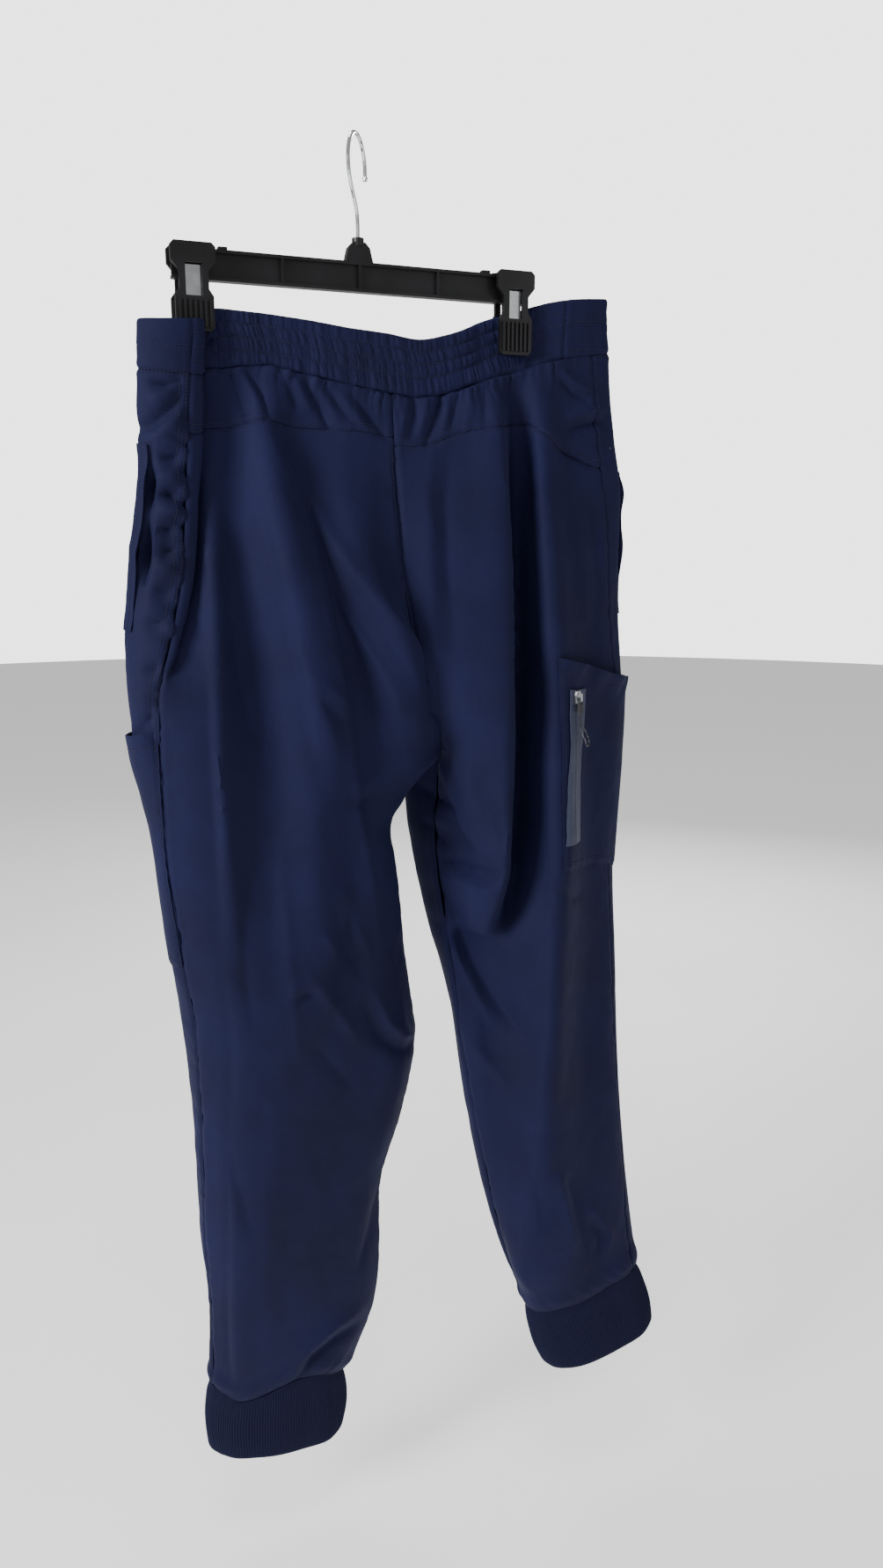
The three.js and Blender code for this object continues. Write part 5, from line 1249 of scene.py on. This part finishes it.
class Patch:
    """A patch on a half's cloth. places: across it. inner: the rows that its height passes through.
    top and bottom: the heights of its edges at its first and last place. sag: how far the middle of
    the top hangs below the line between them."""

    def __init__(self, half, places, inner, top, bottom, sag=0):
        self.half, self.places, self.inner = half, places, inner
        self.top, self.bottom, self.sag = top, bottom, sag

    def base(self, u, v):
        """Cloth below the patch on a grid of shares u across and v down, and its places."""
        span = np.linspace(0, 1, len(self.places))
        place = np.interp(u, span, self.places)
        sag = self.sag * np.sin(np.pi * np.clip(u, 0, 1)) ** 2
        start = row_at(self.half, self.top[0] + (self.top[1] - self.top[0]) * u - sag)
        end = row_at(self.half, self.bottom[0] + (self.bottom[1] - self.bottom[0]) * u)
        at = v * (len(self.inner) + 1)
        steps = [start, *[np.full_like(u, row) for row in self.inner], end]
        i = np.clip(np.floor(at).astype(int), 0, len(steps) - 2)
        steps, i = np.stack(steps).reshape(len(steps), -1), i.reshape(1, -1)
        low, high = (np.take_along_axis(steps, i + k, 0).reshape(u.shape) for k in (0, 1))
        row = low + (high - low) * (at - i.reshape(u.shape))
        flat = cloth(self.half, place.reshape(-1, 1), row.ravel()).reshape(*u.shape, 3)
        return flat, place

    def piece(self, step, fine=EDGE):
        """The patch's own grid, about a step apart, with the folds of the cloth below it."""
        dense, half_way = np.linspace(0, 1, 300), np.full(300, 0.5)
        across, _ = self.base(dense[None], half_way[None])
        down, _ = self.base(half_way[:, None], dense[:, None])
        wide, long = run_lengths(across, 1)[0], run_lengths(down, 0)[:, 0]
        u = np.interp(spaced(wide[-1], step, fine), wide, dense)
        v = np.interp(spaced(long[-1], step, fine), long, dense)
        self.u, self.v = np.meshgrid(u, v)
        flat, place = self.base(self.u, self.v)
        made = Piece(flat, OUTWARD[self.half])
        made.lift(fold_lift(self.half, flat, place))
        return made


TOUCH = 2.05                # between the middles of a panel and a pocket on it
EDGE_TOUCH = 1.2            # the same where the pocket is sewn down
FULLNESS = 2.2              # how far the middle of the pocket stands off below its mouth


def nearest_side(piece, *names):
    """Distance from the nearest of the edges with those names."""
    return np.minimum.reduce([piece.edge(name) for name in names])


def pocket_lift(patch, piece, gape, mouth):
    """Height over the panel: held down at the sewn edges, full inside them, and standing open along
    the top."""
    u, v = patch.u, patch.v
    sewn = nearest_side(piece, "start", "end", "foot")
    full = EDGE_TOUCH + (TOUCH - EDGE_TOUCH) * smooth_step(sewn / 9)
    where = np.clip((u - 0.03) / 0.72, 0, 1)
    open_top = gape * np.sin(np.pi * where) ** 0.8 * np.exp(-((piece.t / mouth) ** 1.6))
    return full + FULLNESS * np.sin(np.pi * where) * (1 - v) ** 2 + open_top * smooth_step(sewn / 6)


# Rows below the crotch that a pocket's height passes through, as shares of the leg.
LEG_SHARES = {"left": (0.02, 0.06, 0.11, 0.17, 0.24), "right": (0.02, 0.065, 0.144)}


def cargo_pocket(half, places, inner, top, bottom, gape, sag, seed):
    """A cargo pocket: sewn down on three sides, hemmed along its mouth and standing open there by the
    gape. inner: the heights above the crotch at which its rows are set."""
    rows = [*map(hip_row, inner), 4, *(4 + np.array(LEG_SHARES[half]))]
    patch = Patch(half, places, rows, top, bottom, sag)
    piece = patch.piece(2.6)
    piece.lift(pocket_lift(patch, piece, gape, 16))
    seam_roll(piece, "start", "end", "foot", depth=0.35, seed=seed)
    for side in ("start", "end"):
        stitch_groove(piece, side, POCKET_STITCH, depth=0.3)
    stitch_groove(piece, "foot", *POCKET_HEM_STITCHES, depth=0.35)
    stitch_groove(piece, "top", POCKET_MOUTH_STITCH, depth=0.35)
    pucker(piece, "top", 1.4, 20, 15, seed + 5)
    keep(f"pocket_{half}", piece, TWILL_WALL, TWILL, "twill", f"cargo_pocket_{half}")
    return patch, piece


RIGHT_PLACES = [6.12, *np.linspace(6.5, 9.5, 7), 9.9]
LEFT_PLACES = [11.1, *np.linspace(11.5, 14, 6), 14.3]
right_patch, right_pocket = cargo_pocket(
    "right", RIGHT_PLACES, (-462, -482, -500), (-421, -452), (-617, -650), 8.5, 9, 131)
cargo_pocket("left", LEFT_PLACES, (-482, -500), (-468, -474), (-676, -682), 4.0, 2, 141)


def slash_edge(half, places, seed):
    """The bound edge of a slash pocket: a narrow strip, sewn down along the front and standing open
    towards the back in two uneven lobes."""
    patch = Patch(half, places, [3, *map(hip_row, (-315, -345, -380))], (-244, -242), (-388, -386))
    piece = patch.piece(1.8, EDGE[:6])
    z = piece.grid[..., 2]
    free = (1 - patch.u) ** 1.3
    held = smooth_step(nearest_side(piece, "top", "foot") / 12)
    piece.lift(EDGE_TOUCH + 3.6 * free * gape_lobes(z) * held)
    stitch_groove(piece, "start", SLASH_STITCH, depth=0.35)
    pucker(piece, "start", height=0.5, reach=14, cell=12, seed=seed)
    keep(f"slash_edge_{half}", piece, TWILL_WALL, TWILL, "twill", f"slash_pocket_edge_{half}")


slash_edge("left", [12.55, 13, 13.25], 151)
slash_edge("right", [8.95, 9, 9.35], 161)

# ---------------------------------------------------------------- the zip
ZIP_TOP, ZIP_FOOT = 0.09, 0.9
ZIP_LIFT = 1.9
ZIP_EDGES = {"inner": (0.078, 0.012), "middle": (0.125, 0.078), "outer": (0.2, 0.148)}


def on_piece(patch, piece, u, v):
    """Points and normals of a piece on a patch at shares u and v, between its grid's own points."""
    i = np.interp(u, patch.u[0], np.arange(patch.u.shape[1]))
    j = np.interp(v, patch.v[:, 0], np.arange(patch.v.shape[0]))
    i0 = np.clip(np.floor(i).astype(int), 0, patch.u.shape[1] - 2)
    j0 = np.clip(np.floor(j).astype(int), 0, patch.v.shape[0] - 2)
    s, t = (i - i0)[..., None], (j - j0)[..., None]

    def read(grid):
        low = grid[j0, i0] * (1 - s) + grid[j0, i0 + 1] * s
        return low * (1 - t) + (grid[j0 + 1, i0] * (1 - s) + grid[j0 + 1, i0 + 1] * s) * t

    return read(piece.grid), read(piece.normals)


def zip_surface(columns, rows, first=0.0, last=1.0, lift=ZIP_LIFT):
    """Strip of the zip between shares of its width, carried down the pocket at a height over it."""
    w, q = np.meshgrid(np.linspace(first, last, columns), np.linspace(0, 1, rows))
    inner, middle, outer = (a + (b - a) * q for a, b in ZIP_EDGES.values())
    u = np.where(w < 0.5, inner + (middle - inner) * 2 * w, middle + (outer - middle) * (2 * w - 1))
    v = ZIP_TOP + (ZIP_FOOT - ZIP_TOP) * q
    points, normals = on_piece(right_patch, right_pocket, u, v)
    return Piece(points + normals * lift, OUTWARD["right"]), w


def zip_pieces():
    """The coated tape, with its slit down the middle, a raised line over the coil and a dip along both
    sewn edges; and the coil's turns that show in the slit."""
    tape, w = zip_surface(31, 110)
    off = np.abs(w - 0.5)
    over_coil, slit = 0.28 * np.exp(-((off / 0.13) ** 2)), 0.5 * np.exp(-((off / 0.018) ** 2))
    tape.lift(over_coil - slit - 0.25 * smooth_step((off - 0.44) / 0.06))
    keep("zip_tape_coated", tape, TAPE_WALL, COATING, "zip_tape", "zip_tape")
    fine, _ = zip_surface(3, 600, 0.47, 0.53, ZIP_LIFT + 0.32)
    coil = sew("zip_coil", [(fine.grid[:, 1], fine.normals[:, 1])], COIL, pitch=0.9, radius=0.42)


zip_pieces()

# The slider's own frame: side, up the zip and out of the cloth, from its foot.
SLIDER_SIDE = np.array([0.85909, 0.51182, 0])
SLIDER_UP = np.array([-0.02299, 0.03859, 0.99899])
SLIDER_OUT = np.array([0.5113, -0.85823, 0.04492])
SLIDER_FOOT = np.array([189.606, -44.008, -458.618])
CORD_DIAMETER = 1.2
CORD_ROUTE = [
    (0.1, -27.3, 3.9), (0.4, -29.2, 3.9), (1.5, -32, 4.0), (3.4, -35, 4.0), (5.8, -38, 3.9), (8, -40.8, 3.7),
    (9.6, -43.6, 3.5), (11.1, -46.1, 3.3), (13.4, -47.3, 3.2), (15.6, -46.1, 3.2), (15.9, -43.4, 3.3),
    (14.4, -40.4, 3.6), (12.1, -37.4, 3.9), (9.5, -34.4, 4.2), (6.8, -31.6, 4.5), (4.4, -29.3, 4.8),
    (2.6, -27.7, 4.9),
]


def smooth_route(points, count):
    """A smooth curve through the points: each stretch a cubic with the neighbours' mean direction."""
    points = np.array(points, float)
    padded = np.concatenate([[2 * points[0] - points[1]], points, [2 * points[-1] - points[-2]]])
    at = np.linspace(0, len(points) - 1, count)
    i = np.minimum(at.astype(int), len(points) - 2)
    t = (at - i)[:, None]
    p, a, b, n = (padded[i + k] for k in range(4))
    slope, bend, twist = b - p, 2 * p - 5 * a + 4 * b - n, 3 * a - p - 3 * b + n
    return 0.5 * (2 * a + slope * t + bend * t ** 2 + twist * t ** 3)


def braided_tube(route, diameter, sides=16):
    """Rings round a route, each turned to stay square to it, with two strands that wind round it."""
    along = np.gradient(route, axis=0)
    along /= np.linalg.norm(along, axis=1, keepdims=True)
    length = run_lengths(route[None], 1)[0]
    across = np.cross(along, SLIDER_OUT)
    across /= np.linalg.norm(across, axis=1, keepdims=True)
    above = np.cross(across, along)
    turn = np.linspace(0, 2 * np.pi, sides, endpoint=False)[None]
    strands = 1 + 0.1 * np.cos(2 * turn - 2 * np.pi * length[:, None] / 1.6)
    radius = 0.5 * diameter * (strands - 0.06)
    ring_points = route[:, None] + radius[..., None] * (
        np.cos(turn)[..., None] * across[:, None] + np.sin(turn)[..., None] * above[:, None])
    return ring_points, length


def pull_cord():
    """The thin cord on the zip's pull: out of the rod's end, round a small loop and back up to it."""
    local = smooth_route(CORD_ROUTE, 260)
    route = SLIDER_FOOT + local @ np.stack([SLIDER_SIDE, SLIDER_UP, SLIDER_OUT])
    rings, length = braided_tube(route, CORD_DIAMETER)
    rows, sides = rings.shape[:2]
    made = new_object("zip_pull_cord", rings.reshape(-1, 3), tube_faces(rows, sides))
    uv = np.stack(np.broadcast_arrays(np.linspace(0, 3.8, sides)[None], length[:, None]), -1)
    set_uv(made, uv.reshape(-1, 2))
    made.data.materials.append(CORD)
    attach(made, PULL)
    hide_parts("pull_cord")


pull_cord()


# ---------------------------------------------------------------- stitches
def on_both(piece, edge, distances, part=(0, 1)):
    """The same rows on the left and on the right piece."""
    return [(f"{piece}_{half}", edge, distances, part) for half in ("left", "right")]


def seams():
    """Groups of stitch rows, each (piece, edge, distances from it, part of the edge's length)."""
    whole = (0, 1)
    pocket_rows = [("start", (POCKET_STITCH,)), ("end", (POCKET_STITCH,)),
                   ("foot", POCKET_HEM_STITCHES), ("top", (POCKET_MOUTH_STITCH,))]
    return {
        "seat": [*on_both("leg_back", "start", (PANEL_STITCH,), (0, 0.4)),
                 *on_both("leg_back", "top", (FLAT_STITCH,)),
                 *on_both("yoke", "foot", (YOKE_SECOND_STITCH,)), *on_both("yoke", "foot", (FLAT_STITCH,))],
        "sides": [*on_both("leg_front", "start", (PANEL_STITCH,)),
                  ("leg_front_left", "start", (8.0,), (0, 0.35))],
        "fly": [*on_both("leg_front", "end", (PANEL_STITCH,), (0, 0.33)),
                *on_both("leg_front", "top", (FLAT_STITCH,))],
        "waistband": [("band_back", "top", BAND_STITCH_ROWS, whole),
                      ("band_front", "top", FRONT_STITCH_ROWS, whole)],
        "pockets": [*[(f"pocket_{half}", *row, whole) for half in ("right", "left") for row in pocket_rows],
                    *on_both("slash_edge", "start", (SLASH_STITCH,))],
        "cuff_seams": [(f"leg_{face}_{half}", "foot", (CUFF_SEAM_STITCH,), whole)
                       for half in ("left", "right") for face in ("back", "front")],
    }


for group, rows in seams().items():
    runs = []
    for name, edge, distances, part in rows:
        wall = BAND_WALL if "band" in name else TWILL_WALL
        runs += [beside(PIECES[name][0], wall, edge, at, part) for at in distances]
    sew(f"stitches_{group}", runs, THREAD)


# ---------------------------------------------------------------- the hanger, its clips and the slider
def dress(material, *nodes):
    """Gives CAD nodes their finish."""
    for name in nodes:
        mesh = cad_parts[name].data
        mesh.materials.clear()
        mesh.materials.append(material)


JAWS = [f"clip_jaw_{face}_{side}" for face in ("back", "front") for side in ("left", "right")]
dress(PLASTIC, "hanger_bar", *JAWS)
dress(CHROME, "hanger_hook")
dress(STEEL, "clip_spring_left", "clip_spring_right", "zip_slider")
dress(PULL_PAINT, "zip_pull")

# ---------------------------------------------------------------- stage, light and camera
CAMERA_AT = (-318, -960, -304)
CAMERA_YAW, CAMERA_PITCH = 22.2, 12.8
LENS = 26.25
FLOOR_Z = -1.3
FLOOR_RADII = (0.0, 1.0, 3.0, 8.0)
FLOOR_SIDES = 96
SKY_LIGHT, SKY_SEEN, SKY_SHINE = 0.07, 3.0, 0.35


def floor():
    """A flat round floor: rings of points out to its rim."""
    turns = np.linspace(0, 2 * np.pi, FLOOR_SIDES, endpoint=False)
    radii = np.array(FLOOR_RADII)[:, None]
    x, y = radii * np.cos(turns), radii * np.sin(turns)
    grid = np.stack([x, y, np.full_like(x, FLOOR_Z)], -1)
    faces = grid_quads(*x.shape, closed=True).tolist()
    made = new_object("floor", grid.reshape(-1, 3) / MM, faces, smooth=False)
    made.data.materials.append(floor_paint_and_glow())


def soft_light(name, place, size, power, aim=(0, 0, -0.6)):
    """A large square lamp that faces a point."""
    lamp = bpy.data.lights.new(name, "AREA")
    lamp.energy, lamp.size = power, size
    made = bpy.data.objects.new(name, lamp)
    made.location = place
    made.rotation_euler = (Vector(aim) - Vector(place)).to_track_quat("-Z", "Y").to_euler()
    bpy.context.scene.collection.objects.link(made)


def camera():
    """The camera: yaw turns it from +Y towards +X, and pitch tips it down."""
    lens = bpy.data.cameras.new("camera")
    lens.lens, lens.sensor_width = LENS, 36
    made = bpy.data.objects.new("camera", lens)
    made.location = Vector(CAMERA_AT) * MM
    made.rotation_euler = (math.radians(90 - CAMERA_PITCH), 0, -math.radians(CAMERA_YAW))
    bpy.context.scene.collection.objects.link(made)
    bpy.context.scene.camera = made


def sky():
    """White light from all round: weak on the object, brighter where it is seen or mirrored."""
    world = bpy.data.worlds.new("studio")
    world.use_nodes = True
    tree = world.node_tree
    background = tree.nodes["Background"]
    background.inputs["Color"].default_value = (1, 1, 1, 1)
    rays = tree.nodes.new("ShaderNodeLightPath").outputs
    strength = SKY_LIGHT
    for ray, extra in (("Is Camera Ray", SKY_SEEN), ("Is Glossy Ray", SKY_SHINE)):
        step = tree.nodes.new("ShaderNodeMath")
        step.operation = "MULTIPLY_ADD"
        tree.links.new(rays[ray], step.inputs[0])
        step.inputs[1].default_value = extra
        if strength is SKY_LIGHT:
            step.inputs[2].default_value = SKY_LIGHT
        else:
            tree.links.new(strength, step.inputs[2])
        strength = step.outputs[0]
    tree.links.new(strength, background.inputs["Strength"])
    bpy.context.scene.world = world


floor()
camera()
sky()
soft_light("window", (-2.0, -0.7, 0.2), 0.7, 62)
soft_light("ceiling", (-0.4, -0.8, 1.5), 0.8, 16)
soft_light("fill", (1.8, -1.6, -0.2), 1.4, 10)
soft_light("front_window", (1.5, 1.9, 0.2), 0.8, 40)
soft_light("front_ceiling", (-0.3, 0.9, 1.5), 0.8, 14)
